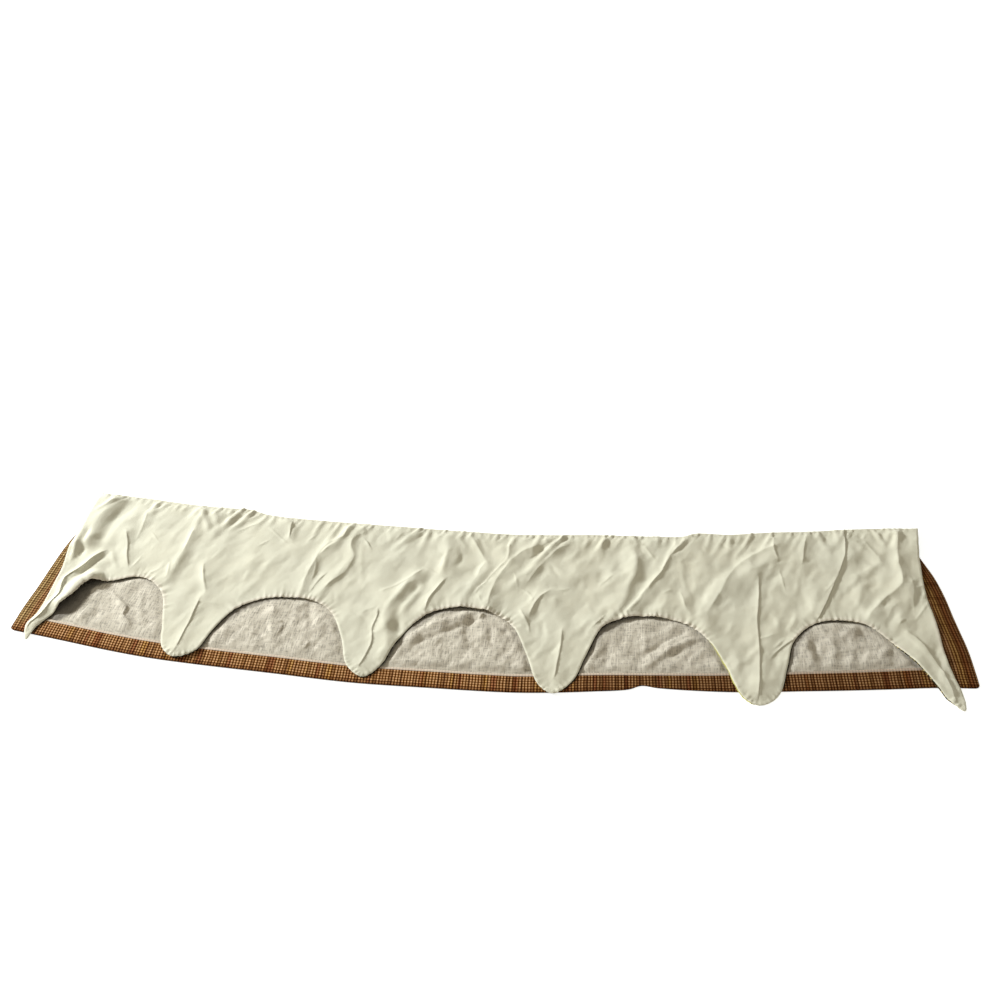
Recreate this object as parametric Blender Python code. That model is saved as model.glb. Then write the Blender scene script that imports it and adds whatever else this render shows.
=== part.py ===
"""Window valance lying face down on a flat surface, its scalloped overlay uppermost.

Four cloths, from the surface upwards: the checked panel with hems turned up at the left, the bottom
and the right; the panel's lining inside those hems; the overlay's face cloth; the overlay's lining.
Each is a closed sheet whose upper and lower faces share one triangle net laid out on the plan.

Units are metres, +Z up.  The tables hold the laid-out plan in millimetres: x runs along the width to
the right, y up the drop, from the middle of the chord between the panel's two bottom corners.
"""

import math
from collections import namedtuple

import bpy
import numpy as np
from mathutils import Vector
from mathutils.geometry import delaunay_2d_cdt

# ---- Driving sizes ----------------------------------------------------------------------------------

PANEL_WIDTH = 1.830         # between the panel's bottom corners, a 72 in valance
PLAN_WIDTH = 1830.0         # the same width in the tables' units
MM = PANEL_WIDTH / PLAN_WIDTH

CHECK_CLOTH = 1.2           # thickness of the panel's cloth
TURNED_HEM = 2.6            # thickness where that cloth is turned over on itself
HEM_DEPTH = 38.0            # how far the turned hems reach in
RIGHT_HEM = 1.3             # the right hem's depth against the others'
SEAM_DEPTH = 12.0           # the turned allowance along the top seam
HEM_STEP = 1.2              # width of the rounded step down from a turned edge
LINING_CLOTH = 1.2          # thickness of the panel's lining
OVERLAY_CLOTH = 1.4         # upright thickness of each overlay sheet
PLY_GAP = 0.3               # gap between cloths that touch
FOLDED_GAP = 0.42           # the same, upright, between the overlay's cloths, which slope steeply in places
EDGE_CLEARANCE = 2.0        # gap under cloth that passes over an edge

LINING_UNDER = CHECK_CLOTH + PLY_GAP
LINING_OVER = LINING_UNDER + LINING_CLOTH
SEAM_UNDER = LINING_OVER + PLY_GAP
OVERLAY_UNDER = LINING_OVER + EDGE_CLEARANCE
TIP_UNDER = 0.6             # height of a flap's underside where it lies past the panel

SEAM_RISE = 22.0            # the overlay reaches its full height this far below the top seam
SEAM_FOLD_SHARE = 0.3       # share of a fold's height that is left at the top seam
TIP_FALL_START = 2.0        # a flap starts to fall this far past the panel's bottom edge
TIP_FALL = 20.0             # and is down this much further on
FOLD_END = 26.0             # length over which a fold dies away at either end

EDGE_STEP = 16.0            # spacing of the points along the overlay's outline
PANEL_EDGE_STEP = 25.0      # the same along the panel's outline
FOLD_STEP = 32.0            # spacing of the points along a fold
NET_STEP = 50.0             # spacing of the even net between folds
POINT_CLEARANCE = 11.0      # no two points of a net lie closer than this
EDGE_MARGIN = 8.0           # nor closer than this to an outline
CORNER_RADIUS = 9.0         # rounding of the panel's bottom corners
CURVE_STEP = 2.0            # spacing of the finely sampled guide curves

# ---- The panel's four sides, as laid ------------------------------------------------------------------

TOP_EDGE = (
    (-880, 388), (-768, 378), (-675, 367), (-590, 362), (-540, 361), (-491, 347), (-402, 340), (-227, 334),
    (-53, 329), (32, 328), (117, 332), (202, 339), (329, 344), (401, 349), (428, 360), (498, 362),
    (584, 375), (670, 384), (755, 397), (842, 406), (902, 411),
)
BOTTOM_EDGE = (
    (-915, 0), (-811, -17), (-705, -35), (-624, -46), (-544, -53), (-389, -63), (-236, -73),
    (-110, -74), (59, -73), (132, -68), (205, -60), (276, -50), (300, -40), (330, -43), (460, -42),
    (607, -29), (680, -22), (754, -14), (843, -4), (915, 0),
)
LEFT_EDGE = (
    (-918, 0), (-915, 57), (-909, 110), (-902, 196), (-895, 245), (-884, 285), (-881, 335), (-876, 388),
)
RIGHT_EDGE = (
    (920, 0), (921, 34), (921, 92), (915, 161), (911, 222), (903, 273), (894, 303), (886, 333),
    (888, 368), (899, 411),
)

# ---- The overlay's lower edge: half flap, then scallop and flap in turn -------------------------------

Flap = namedtuple("Flap", "left_toe tip right_toe")
Scallop = namedtuple(
    "Scallop", "left_foot left_shoulder left_brow crown right_brow right_shoulder right_foot")

OVERLAY_LEFT = ((-880, 388), (-883, 330), (-882, 272), (-886, 218), (-879, 165), (-877, 101), (-880, 45))
OVERLAY_RIGHT = (
    (877, 20), (873, 70), (875, 112), (875, 170), (874, 236), (879, 280), (886, 335), (893, 374), (902, 411),
)
FLAPS = (
    Flap(left_toe=(-889, 14), tip=(-875, -22), right_toe=(-867, 5)),
    Flap(left_toe=(-606, -24), tip=(-577, -43), right_toe=(-541, -26)),
    Flap(left_toe=(-249, -38), tip=(-216, -61), right_toe=(-186, -34)),
    Flap(left_toe=(109, -52), tip=(138, -71), right_toe=(173, -40)),
    Flap(left_toe=(482, -50), tip=(511, -67), right_toe=(547, -46)),
    Flap(left_toe=(858, -33), tip=(878, -52), right_toe=(884, -26)),
)
SCALLOPS = (
    Scallop((-850, 38), (-823, 82), (-807, 119), (-756, 137), (-706, 149), (-654, 113), (-628, 43)),
    Scallop((-523, 26), (-493, 81), (-452, 109), (-398, 118), (-348, 114), (-306, 89), (-272, 27)),
    Scallop((-163, 25), (-141, 67), (-98, 105), (-40, 117), (12, 108), (53, 79), (84, 14)),
    Scallop((196, 15), (227, 86), (268, 113), (325, 122), (383, 111), (421, 82), (456, 18)),
    Scallop((572, 20), (592, 80), (637, 127), (690, 140), (740, 131), (787, 84), (825, 28)),
)

# ---- Folds, from the top of the valance down ----------------------------------------------------------
# height: how far the ridge stands above the cloth around it.
# left, right: how far the slopes reach on each side of the ridge, the steeper one the shorter.
# route: the line of the ridge.

Fold = namedtuple("Fold", "height left right route")

OVERLAY_FOLDS = (
    Fold(9.0, 56, 36, ((-837, 394), (-851, 324), (-857, 264), (-851, 209))),
    Fold(3.4, 16, 16, ((-800, 228), (-838, 164), (-858, 122), (-855, 82), (-868, 40), (-880, -4))),
    Fold(15.0, 30, 34, ((-776, 148), (-820, 122), (-832, 80), (-852, 40))),
    Fold(2.2, 24, 16, ((-786, 293), (-768, 238), (-739, 153))),
    Fold(2.2, 22, 18, ((-734, 383), (-754, 333), (-749, 283))),
    Fold(4.0, 34, 22, ((-641, 382), (-637, 302), (-640, 212), (-653, 122))),
    Fold(3.0, 16, 18, ((-620, 379), (-610, 327), (-590, 262))),
    Fold(2.0, 20, 18, ((-595, 204), (-574, 144), (-558, 94))),
    Fold(2.2, 20, 14, ((-494, 359), (-434, 312), (-427, 257))),
    Fold(3.4, 30, 20, ((-312, 345), (-318, 288), (-358, 238), (-370, 173), (-376, 113))),
    Fold(3.4, 26, 16, ((-263, 348), (-298, 286), (-292, 231), (-320, 166), (-347, 104))),
    Fold(5.0, 42, 32, ((-146, 219), (-158, 151), (-186, 91), (-186, 41), (-172, -24))),
    Fold(3.6, 26, 32, ((-105, 340), (-93, 262), (-97, 177), (-119, 127), (-127, 77))),
    Fold(2.6, 16, 16, ((-64, 349), (-36, 287), (-8, 232), (-44, 147), (-54, 99))),
    Fold(4.6, 34, 30, ((129, 323), (63, 277), (33, 231), (7, 171), (-1, 86))),
    Fold(3.4, 16, 24, ((172, 316), (107, 271), (84, 229), (60, 174))),
    Fold(2.4, 24, 18, ((145, 184), (100, 148), (76, 80))),
    Fold(2.2, 20, 20, ((225, 353), (228, 292), (221, 249))),
    Fold(5.0, 42, 26, ((283, 352), (297, 250), (273, 170), (243, 108), (210, 72))),
    Fold(4.6, 14, 34, ((424, 374), (374, 292), (341, 230), (296, 154), (254, 94))),
    Fold(2.0, 14, 14, ((385, 214), (395, 159), (401, 101))),
    Fold(4.2, 40, 40, ((597, 372), (565, 285), (491, 224), (440, 152), (422, 76))),
    Fold(2.0, 16, 20, ((663, 395), (647, 322), (627, 249))),
    Fold(3.8, 38, 8, ((742, 406), (729, 311), (688, 224), (659, 166), (639, 127))),
    Fold(2.6, 18, 24, ((753, 372), (785, 322), (817, 279))),
    Fold(4.2, 22, 30, ((856, 414), (838, 322), (832, 250), (790, 203), (738, 134))),
    Fold(2.6, 16, 18, ((854, 249), (830, 192), (800, 137), (772, 99))),
    Fold(2.6, 14, 14, ((807, 129), (837, 74), (860, 9), (867, -51))),
    Fold(2.0, 26, 26, ((-570, 123), (-573, 53), (-578, -50))),
    Fold(2.0, 26, 26, ((-213, 118), (-212, 43), (-226, -60))),
    Fold(2.0, 26, 26, ((151, 113), (150, 43), (138, -62))),
    Fold(2.0, 26, 24, ((545, 224), (522, 83), (510, -68))),
)
PANEL_WRINKLES = (
    Fold(3.5, 22, 18, ((-742, 104), (-716, 66), (-686, 4))),
    Fold(3.0, 24, 20, ((-815, 90), (-790, 48), (-770, 8))),
    Fold(3.5, 20, 20, ((-424, 96), (-412, 46), (-392, -12))),
    Fold(3.0, 18, 20, ((-332, 92), (-318, 40), (-310, -18))),
    Fold(4.0, 22, 24, ((-148, 22), (-92, 66), (-20, 104))),
    Fold(3.5, 20, 18, ((-34, 58), (-26, 12), (14, -24))),
    Fold(4.5, 24, 26, ((290, 24), (350, 60), (412, 98))),
    Fold(3.5, 18, 20, ((345, 8), (400, 34), (436, 66))),
    Fold(3.0, 16, 18, ((628, 108), (616, 66), (622, 28))),
    Fold(3.0, 20, 20, ((704, 132), (692, 84), (700, 36))),
    Fold(3.0, 20, 22, ((776, 92), (760, 64), (742, 36))),
)


# ---- Curves on the plan ---------------------------------------------------------------------------------

def smooth(points, step=CURVE_STEP):
    """A curve through the points, sampled about every step: a centripetal Catmull-Rom spline."""
    pts = np.array(points, float)
    pts = np.vstack([2 * pts[0] - pts[1], pts, 2 * pts[-1] - pts[-2]])
    curve = []
    for a, b, c, d in zip(pts, pts[1:], pts[2:], pts[3:]):
        t1 = math.dist(a, b) ** 0.5
        t2 = t1 + math.dist(b, c) ** 0.5
        t3 = t2 + math.dist(c, d) ** 0.5
        count = max(2, round(math.dist(b, c) / step))
        for t in np.linspace(t1, t2, count, endpoint=False):
            ab = a + (b - a) * t / t1
            bc = b + (c - b) * (t - t1) / (t2 - t1)
            cd = c + (d - c) * (t - t2) / (t3 - t2)
            abc = ab + (bc - ab) * t / t2
            bcd = bc + (cd - bc) * (t - t1) / (t3 - t1)
            curve.append(abc + (bcd - abc) * (t - t1) / (t2 - t1))
    curve.append(pts[-2])
    return np.array(curve)


def respace(curve, step):
    """The same curve with its points an equal distance apart, both ends kept."""
    runs = np.hypot(*np.diff(curve, axis=0).T)
    along = np.concatenate([[0.0], np.cumsum(runs)])
    stops = np.linspace(0.0, along[-1], max(2, round(along[-1] / step)) + 1)
    return np.column_stack([np.interp(stops, along, curve[:, axis]) for axis in (0, 1)])


def ease(t):
    """0 to 1 with level ends."""
    t = np.clip(t, 0.0, 1.0)
    return t * t * (3.0 - 2.0 * t)


TOP_CURVE = smooth(TOP_EDGE)
BOTTOM_CURVE = smooth(BOTTOM_EDGE)
LEFT_CURVE = smooth(LEFT_EDGE)
RIGHT_CURVE = smooth(RIGHT_EDGE)


def top_y(x):
    return np.interp(x, TOP_CURVE[:, 0], TOP_CURVE[:, 1])


def bottom_y(x):
    return np.interp(x, BOTTOM_CURVE[:, 0], BOTTOM_CURVE[:, 1])


def left_x(y):
    return np.interp(y, LEFT_CURVE[:, 1], LEFT_CURVE[:, 0])


def right_x(y):
    return np.interp(y, RIGHT_CURVE[:, 1], RIGHT_CURVE[:, 0])


def without_repeats(ring):
    """The ring less any point that falls on the one before it."""
    ring = np.array(ring)
    steps = np.hypot(*(ring - np.roll(ring, 1, axis=0)).T)
    return ring[steps > 0.5]


def panel_ring(side, bottom, top, radius):
    """The panel's outline drawn in by the given amounts, counter-clockwise, bottom corners rounded."""
    right = side * RIGHT_HEM
    corners = []
    for edge_x, inward in ((left_x, side), (right_x, -right)):
        for edge_y, lift in ((bottom_y, bottom), (top_y, -top)):
            y = 0.0
            for _ in range(4):
                x = edge_x(y) + inward
                y = edge_y(x) + lift
            corners.append((float(x), float(y)))
    low_left, high_left, low_right, high_right = corners

    def run(start, stop):
        count = max(2, round(abs(stop - start) / PANEL_EDGE_STEP))
        return np.linspace(start, stop, count + 1)

    bend = radius * (1.0 - math.sqrt(0.5))
    ring = [(x, bottom_y(x) + bottom) for x in run(low_left[0] + radius, low_right[0] - radius)]
    ring.append((low_right[0] - bend, low_right[1] + bend))
    ring += [(right_x(y) - right, y) for y in run(low_right[1] + radius, high_right[1])]
    ring += [(x, top_y(x) - top) for x in run(high_right[0], high_left[0])[1:]]
    ring += [(left_x(y) + side, y) for y in run(high_left[1], low_left[1] + radius)[1:]]
    ring.append((low_left[0] + bend, low_left[1] + bend))
    return without_repeats(ring)


def overlay_ring():
    """The overlay's outline, counter-clockwise from its top left corner."""
    lower = list(OVERLAY_LEFT)
    for flap, scallop in zip(FLAPS, SCALLOPS):
        lower += list(flap) + list(scallop)
    lower += list(FLAPS[-1]) + list(OVERLAY_RIGHT)
    hanging = respace(smooth(lower), EDGE_STEP)
    seam = respace(TOP_CURVE[::-1], EDGE_STEP)
    return np.vstack([hanging[:-1], seam[:-1]])


# ---- Nets of points ---------------------------------------------------------------------------------------

def inside(points, ring):
    """Which points lie within the ring."""
    hits = np.zeros(len(points), int)
    for (ax, ay), (bx, by) in zip(ring, np.roll(ring, -1, axis=0)):
        if ay == by:
            continue
        spans = (ay > points[:, 1]) != (by > points[:, 1])
        cross = ax + (points[:, 1] - ay) * (bx - ax) / (by - ay)
        hits += spans & (points[:, 0] < cross)
    return hits % 2 == 1


def edge_distance(points, ring):
    """How far each point lies from the ring's nearest edge."""
    best = np.full(len(points), np.inf)
    for a, b in zip(ring, np.roll(ring, -1, axis=0)):
        side = b - a
        t = np.clip((points - a) @ side / (side @ side), 0.0, 1.0)
        gap = points - (a + t[:, None] * side)
        best = np.minimum(best, np.hypot(gap[:, 0], gap[:, 1]))
    return best


def fold_points(folds):
    """Points along each fold's ridge, then halfway down and at the foot of its slopes."""
    rows = []
    for share in (0.0, 1.0, 0.5):
        for fold in folds:
            ridge = respace(smooth(fold.route), FOLD_STEP)
            heading = np.gradient(ridge, axis=0)
            heading /= np.hypot(heading[:, 0], heading[:, 1])[:, None]
            across = np.column_stack([-heading[:, 1], heading[:, 0]])
            for reach in {-share * fold.left, share * fold.right}:
                rows.append(ridge + reach * across)
    return np.vstack(rows)


def lattice(ring, step):
    """An even net of staggered rows over the ring's box."""
    low, high = ring.min(axis=0), ring.max(axis=0)
    rows = []
    for row, y in enumerate(np.arange(low[1], high[1], step * math.sqrt(0.75))):
        xs = np.arange(low[0] + step * 0.5 * (row % 2), high[0], step)
        rows.append(np.column_stack([xs, np.full(len(xs), y)]))
    return np.vstack(rows)


def net(ring, folds, step):
    """Inner points for a sheet: its folds' own first, then an even net in what is left."""
    kept = np.empty((0, 2))
    for points, clearance in ((fold_points(folds), POINT_CLEARANCE), (lattice(ring, step), step * 0.62)):
        points = points[inside(points, ring)]
        points = points[edge_distance(points, ring) > EDGE_MARGIN]
        for point in points:
            if len(kept) == 0 or np.hypot(*(kept - point).T).min() > clearance:
                kept = np.vstack([kept, point])
    return kept


# ---- Heights ----------------------------------------------------------------------------------------------

def fold_height(points, folds):
    """How far the folds lift the cloth at each point."""
    lift = np.zeros(len(points))
    for fold in folds:
        ridge = smooth(fold.route)
        heading = np.gradient(ridge, axis=0)
        heading /= np.hypot(heading[:, 0], heading[:, 1])[:, None]
        gaps = points[:, None, :] - ridge[None, :, :]
        nearest = np.hypot(gaps[..., 0], gaps[..., 1]).argmin(axis=1)
        gap = gaps[np.arange(len(points)), nearest]
        head = heading[nearest]
        across = gap[:, 1] * head[:, 0] - gap[:, 0] * head[:, 1]
        beyond = np.abs(gap[:, 0] * head[:, 0] + gap[:, 1] * head[:, 1])
        reach = np.where(across < 0.0, fold.left, fold.right)
        along = nearest * CURVE_STEP
        ends = np.minimum(along, (len(ridge) - 1) * CURVE_STEP - along) - beyond
        lift += fold.height * ease(1.0 - np.abs(across) / reach) * ease(ends / FOLD_END)
    return lift


def lining_under(points):
    return LINING_UNDER + fold_height(points, PANEL_WRINKLES)


def overlay_under(points):
    """Underside of the overlay: sewn down at the top, lifted by folds, let down past the panel."""
    seam = ease((top_y(points[:, 0]) - points[:, 1]) / SEAM_RISE)
    past = bottom_y(points[:, 0]) - points[:, 1] - TIP_FALL_START
    loose = OVERLAY_UNDER - (OVERLAY_UNDER - TIP_UNDER) * ease(past / TIP_FALL)
    level = SEAM_UNDER + (loose - SEAM_UNDER) * seam
    share = SEAM_FOLD_SHARE + (1.0 - SEAM_FOLD_SHARE) * seam
    folds = fold_height(points, OVERLAY_FOLDS) + fold_height(points, PANEL_WRINKLES)
    return level + share * folds


# ---- Solids -----------------------------------------------------------------------------------------------

def sheet(name, rings, inner, under, over, material, frame):
    """A closed sheet: rings[0] is its outline, any other ring a line that its net keeps to."""
    points = np.vstack([*rings, inner])
    lines = []
    start = 0
    for ring in rings:
        stops = range(start, start + len(ring))
        lines += [(i, start + (i - start + 1) % len(ring)) for i in stops]
        start += len(ring)
    outline = list(range(len(rings[0])))
    inside_faces = 1
    flat, _, triangles, origin, _, _ = delaunay_2d_cdt(
        [Vector(p) for p in points], lines, [outline], inside_faces, 1e-4)
    source = [ids[0] for ids in origin]
    corners = [(points[i][0] * MM, points[i][1] * MM) for i in source]
    verts = [(x, y, under[i] * MM) for (x, y), i in zip(corners, source)]
    verts += [(x, y, over[i] * MM) for (x, y), i in zip(corners, source)]
    up = len(flat)
    faces = []
    edges = set()
    for a, b, c in triangles:
        faces += [(a, c, b), (a + up, b + up, c + up)]
        edges |= {(a, b), (b, c), (c, a)}
    faces += [(a, b, b + up, a + up) for a, b in sorted(edges) if (b, a) not in edges]
    mesh = bpy.data.meshes.new(name)
    mesh.from_pydata(verts, [], faces)
    mesh.materials.append(material)
    mesh.shade_smooth()
    mesh.set_sharp_from_angle(angle=math.radians(40))
    piece = bpy.data.objects.new(name, mesh)
    piece.parent = frame
    bpy.context.collection.objects.link(piece)
    return piece


def check_panel(material, frame):
    """The checked cloth: flat below, a turned hem all round above, stepping down to a single ply."""
    outline = panel_ring(0.0, 0.0, 1.5, CORNER_RADIUS)
    turned = panel_ring(HEM_DEPTH, HEM_DEPTH, SEAM_DEPTH, 0.0)
    inset = HEM_STEP
    single = panel_ring(HEM_DEPTH + inset, HEM_DEPTH + inset, SEAM_DEPTH + inset, 0.0)
    inner = lattice(single, 2.0 * NET_STEP)
    inner = inner[inside(inner, single)]
    inner = inner[edge_distance(inner, single) > 0.5 * NET_STEP]
    over = [TURNED_HEM] * (len(outline) + len(turned)) + [CHECK_CLOTH] * (len(single) + len(inner))
    sheet("check_panel", [outline, turned, single], inner, [0.0] * len(over), over, material, frame)


def panel_lining(material, frame):
    reach = HEM_STEP + EDGE_CLEARANCE
    outline = panel_ring(HEM_DEPTH + reach, HEM_DEPTH + reach, SEAM_DEPTH + reach, 0.0)
    inner = net(outline, PANEL_WRINKLES, 1.6 * NET_STEP)
    under = lining_under(np.vstack([outline, inner]))
    sheet("panel_lining", [outline], inner, under, under + LINING_CLOTH, material, frame)


def overlay(face_material, lining_material, frame):
    """Both overlay cloths share one net, so the gap between them is even over every fold."""
    outline = overlay_ring()
    inner = net(outline, OVERLAY_FOLDS, NET_STEP)
    under = overlay_under(np.vstack([outline, inner]))
    over = under + OVERLAY_CLOTH
    sheet("overlay_face", [outline], inner, under, over, face_material, frame)
    under = over + FOLDED_GAP
    over = under + OVERLAY_CLOTH
    sheet("overlay_lining", [outline], inner, under, over, lining_material, frame)


# ---- Materials and assembly -------------------------------------------------------------------------------

def cloth_material(name, colour, roughness):
    material = bpy.data.materials.new(name)
    material.use_nodes = True
    shader = material.node_tree.nodes["Principled BSDF"]
    shader.inputs["Base Color"].default_value = (*colour, 1.0)
    shader.inputs["Roughness"].default_value = roughness
    shader.inputs["Metallic"].default_value = 0.0
    return material


def laying_frame():
    """An empty that puts the middle of the laid-out valance's box over the world's origin."""
    plan = np.vstack([panel_ring(0.0, 0.0, 0.0, CORNER_RADIUS), overlay_ring()])
    middle = (plan.min(axis=0) + plan.max(axis=0)) * 0.5 * MM
    frame = bpy.data.objects.new("laying_frame", None)
    frame.location = (-middle[0], -middle[1], 0.0)
    bpy.context.collection.objects.link(frame)
    return frame


def main():
    for old in list(bpy.data.objects):
        bpy.data.objects.remove(old, do_unlink=True)
    frame = laying_frame()
    check_panel(cloth_material("homespun_check", (0.24, 0.11, 0.035), 0.9), frame)
    panel_lining(cloth_material("coarse_lining", (0.62, 0.57, 0.50), 0.95), frame)
    face = cloth_material("overlay_check", (0.42, 0.33, 0.14), 0.9)
    lining = cloth_material("cream_lining", (0.80, 0.78, 0.65), 0.85)
    overlay(face, lining, frame)


main()
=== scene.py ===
"""Looks of the lined window valance, lying face down: four cloths over the solids, with weave and sewing.

Tables are in millimetres on the laid-out plan, as the part's own source has them: x along the width, y up
the drop, from the middle of the chord between the panel's bottom corners.  Heights are above the floor.
"""

import math
from collections import namedtuple

import bpy
import numpy as np
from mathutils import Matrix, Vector, kdtree
from mathutils.geometry import delaunay_2d_cdt


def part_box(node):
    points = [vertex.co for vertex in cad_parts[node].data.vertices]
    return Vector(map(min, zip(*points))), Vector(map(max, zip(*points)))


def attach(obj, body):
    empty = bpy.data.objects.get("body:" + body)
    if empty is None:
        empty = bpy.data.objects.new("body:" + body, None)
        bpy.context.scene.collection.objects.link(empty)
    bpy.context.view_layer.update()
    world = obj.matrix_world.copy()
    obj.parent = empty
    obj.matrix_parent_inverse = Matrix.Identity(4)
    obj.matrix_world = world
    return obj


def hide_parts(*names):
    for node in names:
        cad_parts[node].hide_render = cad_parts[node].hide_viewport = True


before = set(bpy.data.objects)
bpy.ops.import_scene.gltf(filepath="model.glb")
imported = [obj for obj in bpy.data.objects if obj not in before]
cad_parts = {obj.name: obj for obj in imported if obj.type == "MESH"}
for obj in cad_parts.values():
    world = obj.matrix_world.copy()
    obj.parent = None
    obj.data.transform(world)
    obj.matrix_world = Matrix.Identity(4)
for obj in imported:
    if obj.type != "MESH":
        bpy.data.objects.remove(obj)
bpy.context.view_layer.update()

MM = 0.001

# ---- Heights and thicknesses

GROUND_PLY = 0.8            # the checked cloth where it lies single
HEM_TOP = 2.6               # the checked cloth turned over on itself
HEM_DEPTH = 38.0
RIGHT_HEM = 1.3             # the right hem's depth against the others'
SEAM_DEPTH = 12.0
SEAM_SHARE = SEAM_DEPTH / HEM_DEPTH
CORNER_RADIUS = 9.0
LINING_HELD = 0.95          # underside of the panel's lining where the hems hold it down
LINING_UNDER = 1.5          # and where it lies free
LINING_PLY = 0.7
SEAM_UNDER = 3.0            # underside of the overlay at the top seam
OVERLAY_UNDER = 4.2         # and where it lies loose over the panel
RESTING_UNDER = 2.7         # and at its lowest there, where it rests on the lining
TIP_UNDER = 0.6             # and where a flap lies past the panel
TIP_LOWEST = 0.3            # and at its lowest there
FLOOR_GAP = 0.1             # the least that is left between the overlay and the floor
OVERLAY_PLY = 0.5           # each of the overlay's two cloths
PLY_GAP = 0.1
RIM_BULGE = 0.3             # how far a cloth's rim is rounded out
LINING_BULGE = 0.2
PANEL_WIDTH = 1830.0        # of the cut cloth between its side hems' folds
OVERLAY_FULLNESS = 1.02     # the overlay's cut width against the width in which it lies

SEAM_RISE = 22.0            # how far down from the seam the overlay comes loose
SEAM_FOLD_SHARE = 0.3       # how much of the folds' height is left at the seam
TIP_FALL_START = 2.0        # how far past the panel a flap starts to come down
TIP_FALL = 20.0             # and within how much more it is down
FOLD_END = 26.0             # how far a crease takes to fade out at its ends
PINCH = 1.9                 # the power that makes a crease sharp
PUCKER_PITCH = 10.6         # from one of the edge's puckers to the next
SOFT_LANDING = 0.5          # how gently the overlay comes to rest on what is under it, in square millimetres

# ---- The plan

TOP_EDGE = (
    (-880, 388), (-768, 378), (-675, 367), (-590, 362), (-540, 361), (-491, 347), (-402, 340), (-227, 334),
    (-53, 329), (32, 328), (117, 332), (202, 339), (329, 344), (401, 349), (428, 360), (498, 362),
    (584, 375), (670, 384), (755, 397), (842, 406), (902, 411),
)
BOTTOM_EDGE = (
    (-915, 0), (-811, -17), (-705, -35), (-624, -46), (-544, -53), (-389, -63), (-236, -73),
    (-110, -74), (59, -73), (132, -68), (205, -60), (276, -50), (300, -40), (330, -43), (460, -42),
    (607, -29), (680, -22), (754, -14), (843, -4), (915, 0),
)
LEFT_EDGE = (
    (-918, 0), (-915, 57), (-909, 110), (-902, 196), (-895, 245), (-884, 285), (-881, 335), (-876, 388),
)
RIGHT_EDGE = (
    (920, 0), (921, 34), (921, 92), (915, 161), (911, 222), (903, 273), (894, 303), (886, 333),
    (888, 368), (899, 411),
)
Flap = namedtuple("Flap", "left_toe tip right_toe")
Scallop = namedtuple(
    "Scallop", "left_foot left_shoulder left_brow crown right_brow right_shoulder right_foot")
OVERLAY_LEFT = ((-880, 388), (-883, 330), (-882, 272), (-886, 218), (-879, 165), (-877, 101), (-880, 45))
OVERLAY_RIGHT = (
    (877, 20), (873, 70), (875, 112), (875, 170), (874, 236), (879, 280), (886, 335), (893, 374), (902, 411),
)
FLAPS = (
    Flap(left_toe=(-889, 14), tip=(-875, -22), right_toe=(-867, 5)),
    Flap(left_toe=(-606, -24), tip=(-577, -43), right_toe=(-541, -26)),
    Flap(left_toe=(-249, -38), tip=(-216, -61), right_toe=(-186, -34)),
    Flap(left_toe=(109, -52), tip=(138, -71), right_toe=(173, -40)),
    Flap(left_toe=(482, -50), tip=(511, -67), right_toe=(547, -46)),
    Flap(left_toe=(858, -33), tip=(878, -52), right_toe=(884, -26)),
)
SCALLOPS = (
    Scallop((-850, 38), (-823, 82), (-807, 119), (-756, 137), (-706, 149), (-654, 113), (-628, 43)),
    Scallop((-523, 26), (-493, 81), (-452, 109), (-398, 118), (-348, 114), (-306, 89), (-272, 27)),
    Scallop((-163, 25), (-141, 67), (-98, 105), (-40, 117), (12, 108), (53, 79), (84, 14)),
    Scallop((196, 15), (227, 86), (268, 113), (325, 122), (383, 111), (421, 82), (456, 18)),
    Scallop((572, 20), (592, 80), (637, 127), (690, 140), (740, 131), (787, 84), (825, 28)),
)

# ---- Folds and creases, each from its upper end down
# height: how far the ridge stands up, or below zero how deep the trough is.
# left, right: how far its slopes reach, as seen with the route coming down.
# crest: 0 for a round ridge to 1 for a pinched one.  lean: how far the ridge tips over to the right.

Crease = namedtuple("Crease", "height left right crest lean route")


def crease_table(*rows):
    """Creases from rows of height, left, right, crest, lean where there is any, and the route's points."""
    made = []
    for row in rows:
        route = [part for part in row if isinstance(part, tuple)]
        height, left, right, crest, *lean = row[:-len(route)]
        made.append(Crease(height, left, right, crest, lean[0] if lean else 0, route))
    return made


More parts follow.
